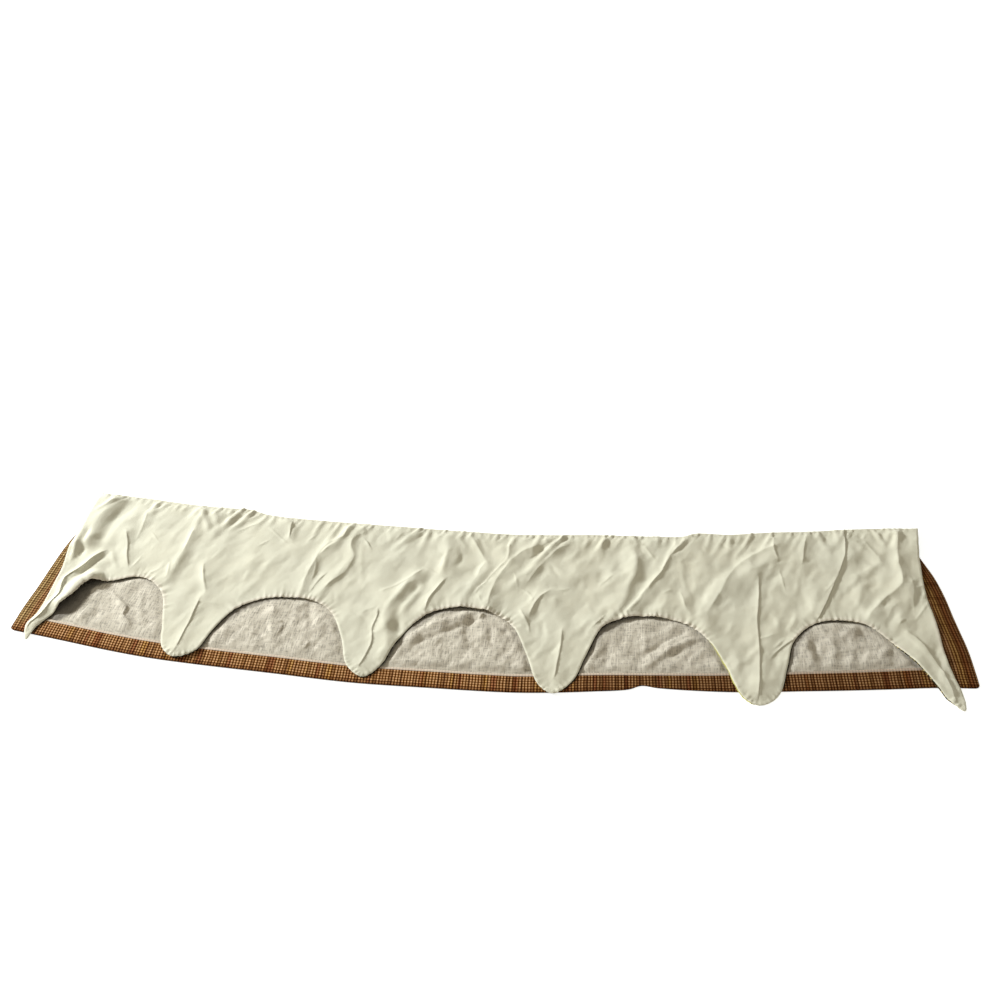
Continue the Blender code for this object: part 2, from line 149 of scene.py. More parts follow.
OVERLAY_FOLDS = crease_table(
    (9.0, 56, 36, 0.2, (-837, 394), (-851, 324), (-857, 264), (-851, 209)),
    (3.4, 16, 16, 0.4, (-800, 228), (-838, 164), (-858, 122), (-855, 82), (-868, 40), (-880, -4)),
    (15, 30, 34, 0.1, (-776, 148), (-820, 122), (-832, 80), (-852, 40)),
    (2.2, 24, 16, 0.4, (-786, 293), (-768, 238), (-739, 153)),
    (2.2, 22, 18, 0.2, (-734, 383), (-754, 333), (-749, 283)),
    (4.0, 34, 22, 0.5, (-641, 382), (-637, 302), (-640, 212), (-653, 122)),
    (3.0, 16, 18, 0.3, (-620, 379), (-610, 327), (-590, 262)),
    (2.0, 20, 18, 0.3, (-595, 204), (-574, 144), (-558, 94)),
    (2.2, 20, 14, 0.4, (-494, 359), (-434, 312), (-427, 257)),
    (3.4, 30, 20, 0.5, (-312, 345), (-318, 288), (-358, 238), (-370, 173), (-376, 113)),
    (3.4, 26, 16, 0.5, (-263, 348), (-298, 286), (-292, 231), (-320, 166), (-347, 104)),
    (5.0, 42, 32, 0.3, (-146, 219), (-158, 151), (-186, 91), (-186, 41), (-172, -24)),
    (3.6, 26, 32, 0.3, (-105, 340), (-93, 262), (-97, 177), (-119, 127), (-127, 77)),
    (2.6, 16, 16, 0.4, (-64, 349), (-36, 287), (-8, 232), (-44, 147), (-54, 99)),
    (4.6, 34, 30, 0.5, (129, 323), (63, 277), (33, 231), (7, 171), (-1, 86)),
    (3.4, 16, 24, 0.5, (172, 316), (107, 271), (84, 229), (60, 174)),
    (2.4, 24, 18, 0.3, (145, 184), (100, 148), (76, 80)),
    (2.2, 20, 20, 0.2, (225, 353), (228, 292), (221, 249)),
    (5.0, 42, 26, 0.3, (283, 352), (297, 250), (273, 170), (243, 108), (210, 72)),
    (4.6, 14, 34, 0.6, (424, 374), (374, 292), (341, 230), (296, 154), (254, 94)),
    (2.0, 14, 14, 0.3, (385, 214), (395, 159), (401, 101)),
    (4.2, 40, 40, 0.3, (597, 372), (565, 285), (491, 224), (440, 152), (422, 76)),
    (2.0, 16, 20, 0.3, (663, 395), (647, 322), (627, 249)),
    (1.8, 38, 3, 0.5, 1.8, (742, 406), (729, 311), (688, 224), (659, 166), (639, 127)),
    (2.6, 18, 24, 0.2, (753, 372), (785, 322), (817, 279)),
    (4.2, 22, 30, 0.3, (856, 414), (838, 322), (832, 250), (790, 203), (738, 134)),
    (2.6, 16, 18, 0.2, (854, 249), (830, 192), (800, 137), (772, 99)),
    (2.6, 14, 14, 0.4, (807, 129), (837, 74), (860, 9), (867, -51)),
    (2.0, 26, 26, 0.3, (-570, 123), (-573, 53), (-578, -50)),
    (2.0, 26, 26, 0.3, (-213, 118), (-212, 43), (-226, -60)),
    (2.0, 26, 26, 0.3, (151, 113), (150, 43), (138, -62)),
    (2.0, 26, 24, 0.3, (545, 224), (522, 83), (510, -68)),
)
OVERLAY_CREASES = crease_table(
    # left half flap and first scallop
    (-2.6, 20, 22, 0.0, (-790, 372), (-812, 330), (-824, 298), (-828, 265), (-830, 228)),
    (4.2, 9, 9, 0.2, (-880, 262), (-874, 225), (-866, 172)),
    (-3.6, 9, 11, 0.0, (-866, 286), (-864, 250), (-857, 215), (-851, 182)),
    (2.4, 9, 1.6, 1.0, 1.5, (-806, 216), (-823, 192), (-832, 171), (-841, 159), (-853, 147), (-859, 133),
     (-858, 116), (-854, 99), (-855, 80), (-860, 64), (-865, 52), (-870, 37), (-877, 24), (-882, 16),
     (-881, -4)),
    (-1.7, 9, 13, 0.0, (-796, 214), (-816, 176), (-834, 148), (-848, 130)),
    (1.0, 7, 7, 0.5, (-790, 208), (-808, 182), (-820, 160), (-828, 136)),
    (1.0, 8, 1.4, 1.0, 0.8, (-787, 283), (-769, 241), (-757, 206), (-740, 166)),
    (1.0, 5, 5, 0.8, (-762, 348), (-756, 311), (-754, 269), (-755, 248)),
    (0.8, 3, 3, 1.0, (-732, 280), (-700, 243)),
    (1.8, 8, 8, 0.5, (-805, 235), (-780, 191), (-760, 156)),
    (1.2, 5, 5, 0.7, (-739, 162), (-731, 186), (-724, 212)),
    (1.2, 4, 4, 0.7, (-702, 156), (-681, 168), (-670, 182)),
    (1.5, 13, 11, 0.4, (-636, 344), (-640, 300), (-642, 234), (-647, 184), (-652, 144)),
    (0.9, 8, 3.5, 1.0, 0.2, (-640, 300), (-641, 262), (-643, 216)),
    (1.6, 5, 5, 0.6, (-664, 199), (-656, 163), (-656, 139)),
    (3.4, 12, 10, 0.5, (-644, 372), (-634, 340), (-622, 314), (-604, 276)),
    (-2.6, 11, 9, 0.0, (-622, 360), (-612, 326), (-592, 282)),
    # second flap and scallop
    (1.6, 4, 5, 0.5, (-602, 337), (-570, 341), (-532, 341)),
    (2.0, 7, 4, 0.8, (-592, 198), (-578, 151), (-563, 116)),
    (1.5, 6, 6, 0.6, (-499, 325), (-527, 308), (-558, 282)),
    (0.9, 3, 3, 1.0, (-487, 313), (-428, 258)),
    (0.9, 4, 4, 0.6, (-494, 248), (-472, 273)),
    (1.1, 8, 8, 0.5, (-498, 140), (-492, 177), (-493, 204)),
    (1.2, 6, 8, 0.6, (-576, 98), (-516, 83)),
    (1.2, 6, 1.4, 1.0, 0.9, (-570, 108), (-574, 43), (-581, -36)),
    (1.5, 7, 1.8, 1.0, 1.0, (-437, 339), (-436, 311), (-431, 271)),
    (1.2, 8, 6, 0.9, (-315, 321), (-317, 291), (-345, 271), (-361, 241), (-367, 211), (-373, 176),
     (-375, 136)),
    (0.9, 4, 4, 0.7, (-372, 300), (-396, 272)),
    (1.2, 5, 4, 0.8, (-363, 226), (-359, 194), (-360, 158)),
    (1.5, 6, 4, 0.9, 0.5, (-326, 200), (-342, 176), (-354, 143), (-357, 116)),
    (1.2, 4, 4, 0.7, (-361, 230), (-343, 259), (-329, 274)),
    (1.1, 9, 7, 0.9, 0.5, (-261, 326), (-286, 298), (-296, 286), (-298, 266), (-286, 236), (-296, 196),
     (-321, 161), (-336, 136)),
    (1.5, 5, 2.5, 0.9, 0.5, (-277, 293), (-264, 276), (-252, 256)),
    # third flap and scallop
    (1.1, 9, 9, 0.3, (-276, 275), (-270, 230), (-262, 194), (-256, 150)),
    (1.0, 5, 5, 0.6, (-210, 284), (-193, 316)),
    (1.2, 5, 5, 0.5, (-203, 329), (-223, 316), (-216, 281)),
    (-1.5, 22, 22, 0.0, (-175, 330), (-172, 275)),
    (1.1, 4, 4, 0.9, (-132, 224), (-151, 197), (-174, 176), (-200, 155), (-226, 138)),
    (1.1, 4, 4, 0.8, (-142, 222), (-117, 208), (-104, 196)),
    (-5.0, 20, 14, 0.0, (-144, 186), (-148, 162), (-158, 138), (-171, 111), (-171, 77), (-166, 28)),
    (2.2, 14, 10, 0.2, (-162, 188), (-173, 150), (-192, 112), (-197, 80), (-191, 40)),
    (1.8, 9, 8, 0.5, (-83, 289), (-96, 253), (-96, 222), (-105, 191)),
    (2.0, 7, 3, 0.9, 0.5, (-86, 196), (-103, 162), (-117, 129), (-121, 99)),
    (-2.0, 10, 10, 0.0, (-72, 285), (-62, 245), (-80, 215)),
    (1.5, 6, 6, 0.5, (-88, 326), (-68, 296), (-48, 271)),
    (1.3, 5, 5, 0.7, (-54, 322), (-24, 268), (-10, 242)),
    (-1.5, 4, 5, 0.2, (-40, 326), (-24, 291), (-9, 255)),
    (1.1, 5, 5, 0.7, (-6, 250), (-20, 226), (-30, 198)),
    (1.3, 5, 4, 0.8, (-32, 146), (-16, 175), (3, 198)),
    (1.1, 4, 4, 0.7, (-20, 158), (-10, 122)),
    (-1.2, 3, 4, 0.3, (-310, 150), (-305, 121), (-295, 95)),
    (-1.3, 7, 8, 0.2, (-298, 100), (-271, 93), (-245, 82), (-220, 60)),
    (1.1, 5, 5, 0.8, (-247, 80), (-236, 95), (-213, 106)),
    (1.3, 6, 1.4, 1.0, 0.9, (-215, 108), (-211, 83), (-216, 53), (-211, 19), (-216, -6), (-223, -30),
     (-230, -52)),
    # fourth flap
    (1.3, 5, 4, 0.9, (-18, 173), (0, 202), (16, 228), (31, 249), (34, 277), (31, 312)),
    (1.2, 8, 7, 0.9, 0.4, (121, 309), (91, 291), (61, 276), (41, 251), (31, 231), (16, 201), (6, 171),
     (1, 111)),
    (1.2, 7, 7, 0.9, (158, 300), (140, 291), (116, 264), (100, 237), (83, 203), (73, 178)),
    (1.0, 4, 4, 0.8, (68, 254), (94, 276), (114, 291)),
    (-1.5, 7, 8, 0.0, (118, 256), (131, 226), (148, 202)),
    (1.1, 4, 4, 0.8, (62, 178), (81, 163), (91, 142)),
    (1.5, 5, 4, 0.9, (62, 130), (73, 106), (84, 84), (88, 54)),
    (2.2, 7, 5, 0.8, 0.4, (127, 179), (106, 156), (91, 129), (83, 99)),
    (1.1, 6, 6, 0.6, (124, 180), (147, 176), (166, 184)),
    (1.3, 5, 5, 0.8, (258, 233), (239, 213), (219, 190)),
    (0.9, 3, 3, 1.0, (60, 165), (53, 199), (43, 223)),
    (-1.5, 8, 8, 0.0, (110, 101), (115, 52)),
    (1.2, 6, 1.4, 1.0, 0.9, (150, 83), (148, 33), (144, 3), (140, -27), (135, -46)),
    (1.5, 7, 7, 0.3, (224, 331), (229, 281)),
    # fourth scallop
    (1.6, 14, 9, 0.3, (288, 311), (298, 271), (298, 236), (283, 201), (273, 161), (253, 121), (220, 89)),
    (1.3, 4, 2, 1.0, 0.5, (238, 124), (222, 102), (204, 80)),
    (1.9, 6, 6, 1.0, 0.6, (401, 327), (386, 312), (371, 292), (358, 267), (346, 237), (326, 207), (306, 177),
     (291, 152), (276, 132), (261, 114)),
    (-2.2, 9, 10, 0.0, (438, 355), (418, 340), (398, 315), (378, 295), (363, 280)),
    (1.1, 5, 5, 0.6, (380, 332), (368, 296), (350, 260)),
    (1.3, 5, 5, 0.7, (308, 327), (329, 286), (342, 270)),
    (-1.3, 6, 6, 0.0, (296, 331), (308, 301), (318, 272)),
    (1.3, 7, 7, 0.5, (398, 276), (391, 232), (402, 179), (407, 150)),
    (1.3, 4, 4, 0.8, (382, 200), (387, 168), (394, 133)),
    (1.0, 4, 4, 0.6, (343, 181), (373, 199)),
    (-1.5, 7, 7, 0.0, (468, 341), (488, 321), (498, 311)),
    (-1.3, 3, 3, 0.5, (433, 326), (445, 284)),
    # fifth flap
    (1.9, 12, 10, 0.6, (607, 341), (546, 305), (496, 259), (460, 188), (434, 142)),
    (1.4, 6, 4, 0.7, (594, 374), (585, 334), (590, 280)),
    (-1.0, 4, 5, 0.4, (606, 294), (565, 270), (520, 247)),
    (0.8, 3, 3, 1.0, (588, 278), (595, 197)),
    (0.9, 5, 2, 1.0, 0.6, (657, 363), (650, 333), (643, 303), (635, 275)),
    (0.8, 3, 3, 0.8, (733, 304), (716, 274), (689, 235), (664, 202)),
    (1.4, 5, 1.5, 1.0, 0.9, (546, 248), (538, 184), (528, 126), (526, 77), (514, -27), (508, -60)),
    (0.9, 5, 5, 0.5, (466, 145), (508, 154), (554, 168)),
    (1.1, 4, 3, 0.8, (515, 79), (538, 86), (566, 99)),
    (2.0, 12, 2, 0.9, 0.8, (604, 98), (591, 84), (570, 68), (552, 48), (544, 34)),
    (1.8, 8, 7, 0.5, (608, 168), (599, 128), (573, 94)),
    (1.4, 4, 4, 0.9, (583, 94), (561, 71), (548, 56)),
    (1.5, 7, 7, 0.5, (556, 150), (568, 125), (559, 95)),
    (1.3, 7, 7, 0.4, (624, 403), (635, 338)),
    (1.1, 4, 4, 0.8, (701, 367), (731, 401)),
    (0.9, 4, 4, 0.7, (684, 218), (686, 180)),
    (1.3, 7, 7, 0.4, (678, 398), (683, 362), (689, 338)),
    (0.9, 6, 6, 0.4, (631, 264), (613, 199)),
    # fifth scallop and right half flap
    (1.2, 11, 1.6, 1.0, 1.2, (745, 408), (738, 362), (729, 318), (708, 268), (688, 224), (672, 190),
     (656, 158), (642, 134)),
    (1.5, 10, 8, 0.7, (857, 396), (844, 352), (836, 308), (834, 267), (830, 243), (814, 225), (789, 202),
     (765, 177), (746, 152), (739, 134)),
    (3.2, 32, 7, 0.0, (898, 402), (888, 362), (881, 318)),
    (-1.8, 11, 11, 0.0, (820, 219), (797, 200), (779, 181), (766, 163)),
    (1.2, 9, 8, 0.6, (825, 203), (801, 183), (785, 161)),
    (-1.7, 9, 10, 0.0, (809, 178), (786, 146), (769, 121)),
    (1.4, 5, 5, 1.0, (824, 158), (808, 145), (796, 132)),
    (1.0, 6, 6, 0.9, (851, 268), (851, 247), (850, 228), (844, 201), (840, 175), (841, 161)),
    (1.2, 5, 5, 0.9, (850, 234), (865, 240), (879, 243)),
    (-1.1, 9, 9, 0.0, (869, 239), (856, 206), (850, 174)),
    (1.3, 5, 5, 1.0, (877, 206), (861, 185), (848, 168), (833, 145)),
    (1.3, 9, 8, 0.8, (773, 377), (787, 343), (804, 299)),
    (1.3, 10, 10, 0.3, (812, 304), (765, 276), (725, 244)),
    (-1.9, 12, 14, 0.0, (799, 280), (751, 244), (715, 207)),
    (-1.8, 10, 10, 0.0, (848, 390), (820, 339)),
    (-1.8, 8, 8, 0.0, (869, 97), (850, 66)),
    (1.0, 6, 6, 0.8, (790, 392), (776, 368), (752, 356)),
    (1.0, 9, 2.5, 1.0, 0.6, (805, 125), (820, 114), (831, 98), (841, 77), (850, 52), (858, 25), (864, -6),
     (867, -40)),
)
PANEL_WRINKLES = crease_table(
    (3.5, 22, 18, 0.3, (-742, 104), (-716, 66), (-686, 4)),
    (3.0, 24, 20, 0.3, (-815, 90), (-790, 48), (-770, 8)),
    (3.5, 20, 20, 0.3, (-424, 96), (-412, 46), (-392, -12)),
    (3.0, 18, 20, 0.3, (-332, 92), (-318, 40), (-310, -18)),
    (4.0, 22, 24, 0.3, (-148, 22), (-92, 66), (-20, 104)),
    (3.5, 20, 18, 0.3, (-34, 58), (-26, 12), (14, -24)),
    (4.5, 24, 26, 0.3, (290, 24), (350, 60), (412, 98)),
    (3.5, 18, 20, 0.3, (345, 8), (400, 34), (436, 66)),
    (3.0, 16, 18, 0.3, (628, 108), (616, 66), (622, 28)),
    (3.0, 20, 20, 0.3, (704, 132), (692, 84), (700, 36)),
    (3.0, 20, 22, 0.3, (776, 92), (760, 64), (742, 36)),
)
LINING_CREASES = crease_table(
    (2.0, 12, 1.8, 1.0, 0.8, (-756, 112), (-741, 95), (-726, 83), (-709, 69), (-708, 48), (-695, 37),
     (-681, 20)),
    (1.6, 8, 9, 0.5, (-786, 53), (-792, 27)),
    (-1.8, 9, 9, 0.0, (-766, 85), (-763, 47), (-748, 23)),
    (1.6, 10, 9, 0.5, (-691, 117), (-680, 61), (-653, 18)),
    (-3.4, 9, 14, 0.1, (-354, 122), (-349, 91), (-340, 61), (-339, 27)),
    (2.0, 10, 12, 0.4, (-373, 115), (-373, 64), (-375, 14)),
    (-2.6, 6, 11, 0.4, (-433, 59), (-417, 33), (-402, 14)),
    (1.5, 4, 5, 0.8, (-388, 60), (-410, 56)),
    (1.4, 6, 5, 0.7, (-391, 57), (-396, 20)),
    (2.2, 6, 7, 0.6, (-430, 111), (-411, 73)),
    (-2.8, 7, 9, 0.1, (-313, 24), (-320, -6)),
    (2.0, 7, 6, 0.7, (-329, 18), (-338, -10)),
    (1.6, 9, 9, 0.4, (-444, 46), (-448, -3)),
    (1.6, 9, 9, 0.4, (-500, 49), (-497, -7)),
    (3.4, 11, 13, 0.5, (-20, 113), (-59, 90), (-106, 66), (-144, 32)),
    (-3.0, 10, 12, 0.2, (-7, 99), (-48, 71), (-99, 42), (-141, 12)),
    (-3.0, 15, 10, 0.5, (-14, 88), (-33, 62), (-27, 26), (-29, 2), (-12, -13), (10, -28)),
    (-3.0, 7, 12, 0.2, (12, 83), (13, 43), (27, 16)),
    (-2.2, 7, 9, 0.2, (13, 98), (41, 62), (58, 32)),
    (2.0, 7, 7, 0.6, (-4, 112), (-14, 86)),
    (1.8, 8, 9, 0.5, (-73, 37), (-82, 0), (-65, -26)),
    (2.4, 12, 9, 0.3, (384, 112), (360, 95), (323, 70), (287, 48)),
    (-4.4, 13, 8, 0.3, (405, 99), (353, 66), (318, 36), (290, 14)),
    (5.2, 10, 13, 0.5, (418, 80), (383, 62), (352, 41), (321, 14), (297, -9)),
    (-2.4, 9, 8, 0.3, (425, 60), (393, 31), (369, 11)),
    (-2.0, 9, 10, 0.2, (246, 80), (237, 36), (231, -6)),
    (1.8, 10, 10, 0.4, (301, 109), (309, 66), (303, 29)),
    (-3.0, 9, 11, 0.2, (622, 94), (629, 71), (635, 38)),
    (-2.8, 8, 10, 0.2, (693, 104), (694, 56)),
    (-3.2, 9, 11, 0.2, (724, 136), (731, 93)),
    (2.0, 9, 9, 0.5, (660, 110), (664, 60)),
    (2.0, 9, 9, 0.5, (758, 99), (736, 62)),
)

# ---- Spacing of the nets' points

CURVE_STEP = 1.5
OVERLAY_STEP = 4.6
OUTLINE_STEP = 0.5          # along the outline that distances are measured to
EDGE_STEP = 3.0             # along the overlay's rim
EDGE_ROWS = (1.1, 2.6, 5.4)  # rows of points this far in from the rim
CREASE_STEP = 3.0           # along a pinched crease
CREASE_ROWS = 2.0           # and between the rows on either side of it
PINCHED = 0.6               # creases with at least this crest get rows of their own
LINING_STEP = 5.0
LINING_RIM_STEP = 4.0
HEM_STEP = 6.0
HEM_RIM_STEP = 5.0
GROUND_STEP = 45.0
LEAST_STEP = 0.2            # points of the panel's outline that are closer than this are merged

DRIFT = 1.0                 # how far creases stray from their routes
DRIFT_SIZE = 38.0
LANE_WIDTH = 53.0           # each crease's height wavers in a lane of its own


# ---- Curves on the plan

def smooth(points):
    """A curve through the points, sampled about every CURVE_STEP: a centripetal Catmull-Rom spline."""
    pts = np.array(points, float)
    pts = np.vstack([2 * pts[0] - pts[1], pts, 2 * pts[-1] - pts[-2]])
    curve = []
    for a, b, c, d in zip(pts, pts[1:], pts[2:], pts[3:]):
        t1 = math.dist(a, b) ** 0.5
        t2 = t1 + math.dist(b, c) ** 0.5
        t3 = t2 + math.dist(c, d) ** 0.5
        count = max(2, round(math.dist(b, c) / CURVE_STEP))
        for t in np.linspace(t1, t2, count, endpoint=False):
            ab = a + (b - a) * t / t1
            bc = b + (c - b) * (t - t1) / (t2 - t1)
            cd = c + (d - c) * (t - t2) / (t3 - t2)
            abc = ab + (bc - ab) * t / t2
            bcd = bc + (cd - bc) * (t - t1) / (t3 - t1)
            curve.append(abc + (bcd - abc) * (t - t1) / (t2 - t1))
    curve.append(pts[-2])
    return np.array(curve)


def respace(curve, step):
    """The same curve with its points an equal distance apart, both ends kept."""
    runs = np.hypot(*np.diff(curve, axis=0).T)
    along = np.concatenate([[0.0], np.cumsum(runs)])
    stops = np.linspace(0.0, along[-1], max(2, round(along[-1] / step)) + 1)
    return np.column_stack([np.interp(stops, along, curve[:, axis]) for axis in (0, 1)])


def headings(curve):
    """Unit directions along a curve."""
    head = np.gradient(curve, axis=0)
    return head / np.hypot(head[:, 0], head[:, 1])[:, None]


def leftward(head):
    """Directions turned a quarter to the left."""
    return np.column_stack([-head[:, 1], head[:, 0]])


def inward(ring):
    """Unit directions into a counter-clockwise ring, one for each of its points."""
    return leftward(headings(np.vstack([ring[-1], ring, ring[0]]))[1:-1])


def ease(t):
    """0 to 1 with level ends."""
    t = np.clip(t, 0.0, 1.0)
    return t * t * (3.0 - 2.0 * t)


def ramp(value, start, stop):
    """0 up to start and 1 from stop on, eased between them.  stop may also be the lower one."""
    return ease((value - start) / (stop - start))


def follow(curve, axis=0):
    """The curve as a function: its y for an x, or with axis 1 its x for a y."""
    return lambda place: np.interp(place, curve[:, axis], curve[:, 1 - axis])


DENT = (270.0, 340.0)       # where the bottom edge is pushed in
DENT_DEPTH = 30.0           # how far in from the edge that reaches
TOP_CURVE = smooth(TOP_EDGE)
top_y = follow(TOP_CURVE)
bottom_y = follow(smooth(BOTTOM_EDGE))
hem_line_y = follow(smooth([spot for spot in BOTTOM_EDGE if not DENT[0] < spot[0] < DENT[1]]))
left_x = follow(smooth(LEFT_EDGE), axis=1)
right_x = follow(smooth(RIGHT_EDGE), axis=1)


def hem_share(x):
    """The bottom hem grows a little deeper towards the right."""
    return 1.0 + 0.1 * ramp(x, 350.0, 800.0)


def hem_y(x, inset):
    """A line drawn in from the bottom edge: the edge's dent fades away inwards."""
    dent = (bottom_y(x) - hem_line_y(x)) * np.clip(1.0 - inset / DENT_DEPTH, 0.0, 1.0)
    return hem_line_y(x) + dent + inset * hem_share(x)


def hem_inset(x, y):
    """How far in from the bottom edge a point lies, as hem_y measures it."""
    dent = bottom_y(x) - hem_line_y(x)
    deep = (y - hem_line_y(x)) / hem_share(x)
    shallow = (y - hem_line_y(x) - dent) / (hem_share(x) - dent / DENT_DEPTH)
    return np.where(deep > DENT_DEPTH, deep, shallow)


def inside(points, ring):
    """Which points lie within the ring."""
    hits = np.zeros(len(points), int)
    for (ax, ay), (bx, by) in zip(ring, np.roll(ring, -1, axis=0)):
        if ay == by:
            continue
        spans = (ay > points[:, 1]) != (by > points[:, 1])
        cross = ax + (points[:, 1] - ay) * (bx - ax) / (by - ay)
        hits += spans & (points[:, 0] < cross)
    return hits % 2 == 1


def nearest(points, curve):
    """Index of and distance to the curve's nearest point, for each point."""
    tree = kdtree.KDTree(len(curve))
    for i, (x, y) in enumerate(curve):
        tree.insert((x, y, 0.0), i)
    tree.balance()
    found = [tree.find((x, y, 0.0)) for x, y in points]
    return np.array([hit[1] for hit in found]), np.array([hit[2] for hit in found])


# ---- Random fields

def ripple(points, size, seed):
    """A smooth random field, about -1 to 1, whose waves are about twice size across."""
    rng = np.random.default_rng(seed)
    cells = 256
    angle = rng.uniform(0.0, 2.0 * math.pi, (cells, cells))
    place = points / size
    base = np.floor(place).astype(int)
    part = place - base
    blend = part ** 3 * (part * (part * 6.0 - 15.0) + 10.0)

    def corner(dx, dy):
        turn = angle[(base[:, 0] + dx) % cells, (base[:, 1] + dy) % cells]
        return np.cos(turn) * (part[:, 0] - dx) + np.sin(turn) * (part[:, 1] - dy)

    low = corner(0, 0) + (corner(1, 0) - corner(0, 0)) * blend[:, 0]
    high = corner(0, 1) + (corner(1, 1) - corner(0, 1)) * blend[:, 0]
    return 1.6 * (low + (high - low) * blend[:, 1])


def ripples(points, size, *seeds):
    """A smooth random field for each seed, side by side."""
    return np.column_stack([ripple(points, size, seed) for seed in seeds])


def wander(along, lane, size, seed):
    """A smooth random value along a line.  Each lane has its own."""
    return ripple(np.column_stack([along, np.full(len(along), lane)]), size, seed)


def facets(points, size, seed):
    """Cone-sided pits about size across that meet in crisp, straight ridges, 0 to about 1 high."""
    rng = np.random.default_rng(seed)
    cells = 128
    jitter = rng.uniform(0.0, 1.0, (cells, cells, 2))
    place = points / size
    base = np.floor(place).astype(int)
    closest = np.full(len(points), 9.0)
    for dx in (-1, 0, 1):
        for dy in (-1, 0, 1):
            cell = base + (dx, dy)
            middle = cell + jitter[cell[:, 0] % cells, cell[:, 1] % cells]
            closest = np.minimum(closest, np.hypot(*(place - middle).T))
    return closest


def drift(points):
    """How far the creases stray from their routes near each point."""
    return DRIFT * ripples(points, DRIFT_SIZE, 41, 42)


# ---- Creases

def crease_lift(points, creases):
    """What the creases add to the height at each point, and how far they push it sideways."""
    lift = np.zeros(len(points))
    push = np.zeros((len(points), 2))
    points = points + drift(points)
    for number, crease in enumerate(creases):
        ridge = smooth(crease.route)
        reach = max(crease.left, crease.right)
        near = np.all(
            (points > ridge.min(axis=0) - reach) & (points < ridge.max(axis=0) + reach), axis=1)
        if not near.any():
            continue
        gaps = points[near][:, None, :] - ridge[None, :, :]
        closest = np.hypot(gaps[..., 0], gaps[..., 1]).argmin(axis=1)
        gap = gaps[np.arange(len(closest)), closest]
        way = headings(ridge)[closest]
        across = gap[:, 1] * way[:, 0] - gap[:, 0] * way[:, 1]
        beyond = np.abs(gap[:, 0] * way[:, 0] + gap[:, 1] * way[:, 1])
        slope = np.where(across < 0.0, crease.left, crease.right)
        height = np.clip(1.0 - np.abs(across) / slope, 0.0, 1.0)
        shape = ease(height) + (height ** PINCH - ease(height)) * crease.crest
        along = closest * CURVE_STEP
        length = (len(ridge) - 1) * CURVE_STEP
        end = min(FOLD_END, 0.45 * length)
        fade = ease((np.minimum(along, length - along) - beyond) / end)
        fade *= 0.95 + 0.2 * wander(along, LANE_WIDTH * number, 42.0, 43)
        lift[near] += crease.height * shape * fade
        if crease.lean:
            push[near] += leftward(way) * (crease.lean * shape * fade)[:, None]
    return lift, push


def crease_rows(creases):
    """Rows of points that follow each pinched crease on its line and on both its slopes."""
    rows = []
    for crease in creases:
        if crease.crest < PINCHED:
            continue
        ridge = respace(smooth(crease.route), CREASE_STEP)
        side = leftward(headings(ridge))
        for reach in (0.0, -CREASE_ROWS, min(CREASE_ROWS, 0.5 * crease.right), crease.right):
            rows.append(ridge + reach * side)
    rows = np.vstack(rows)
    return rows - drift(rows)


# ---- Nets

def lattice(ring, step):
    """Staggered rows of points inside a ring, at the corners of equal-sided triangles."""
    low, high = ring.min(axis=0), ring.max(axis=0)
    rows = []
    for row, y in enumerate(np.arange(low[1], high[1], step * math.sqrt(0.75))):
        xs = np.arange(low[0] + step * 0.5 * (row % 2), high[0], step)
        rows.append(np.column_stack([xs, np.full(len(xs), y)]))
    points = np.vstack(rows)
    return points[inside(points, ring)]


def thin(points, kept, clearance):
    """Adds each point that lies clear of those kept so far, and of those added before it."""
    taken = {}
    for x, y in kept:
        taken.setdefault((int(x // clearance), int(y // clearance)), []).append((x, y))
    added = []
    for x, y in points:
        i, j = int(x // clearance), int(y // clearance)
        close = (spot for di in (-1, 0, 1) for dj in (-1, 0, 1) for spot in taken.get((i + di, j + dj), ()))
        if all(math.dist(spot, (x, y)) >= clearance for spot in close):
            taken.setdefault((i, j), []).append((x, y))
            added.append((x, y))
    return np.vstack([kept, added]) if added else kept


def triangulate(rings, inner):
    """Triangles over the first ring's inside.  Every ring's edges are kept."""
    points = np.vstack([*rings, inner])
    lines = []
    start = 0
    for ring in rings:
        count = len(ring)
        lines += [(start + i, start + (i + 1) % count) for i in range(count)]
        start += count
    outline = list(range(len(rings[0])))
    inside_faces, merge_within = 1, 1e-5
    _, _, triangles, origin, _, _ = delaunay_2d_cdt(
        [Vector(p) for p in points], lines, [outline], inside_faces, merge_within)
    source = np.array([ids[0] for ids in origin])
    return points[source], source, np.array(triangles)


# ---- Meshes

def vertex_normals(points, triangles):
    a, b, c = (points[triangles[:, i]] for i in range(3))
    face = np.cross(b - a, c - a)
    normals = np.zeros_like(points)
    for i in range(3):
        np.add.at(normals, triangles[:, i], face)
    return normals / np.linalg.norm(normals, axis=1)[:, None]


def rim_of(triangles):
    """The outline's directed edges."""
    edges = set()
    for a, b, c in triangles.tolist():
        edges |= {(a, b), (b, c), (c, a)}
    return sorted((a, b) for a, b in edges if (b, a) not in edges)


def outward(points, rim):
    """Unit directions out of the sheet for the points on its rim, and zero for the others."""
    out = np.zeros((len(points), 3))
    for a, b in rim:
        run = points[b] - points[a]
        side = np.array([run[1], -run[0], 0.0]) / math.hypot(run[0], run[1])
        out[a] += side
        out[b] += side
    on_rim = out.any(axis=1)
    out[on_rim] /= np.linalg.norm(out[on_rim], axis=1)[:, None]
    return out


def place(name, data):
    """A new object in the scene."""
    thing = bpy.data.objects.new(name, data)
    bpy.context.collection.objects.link(thing)
    return thing


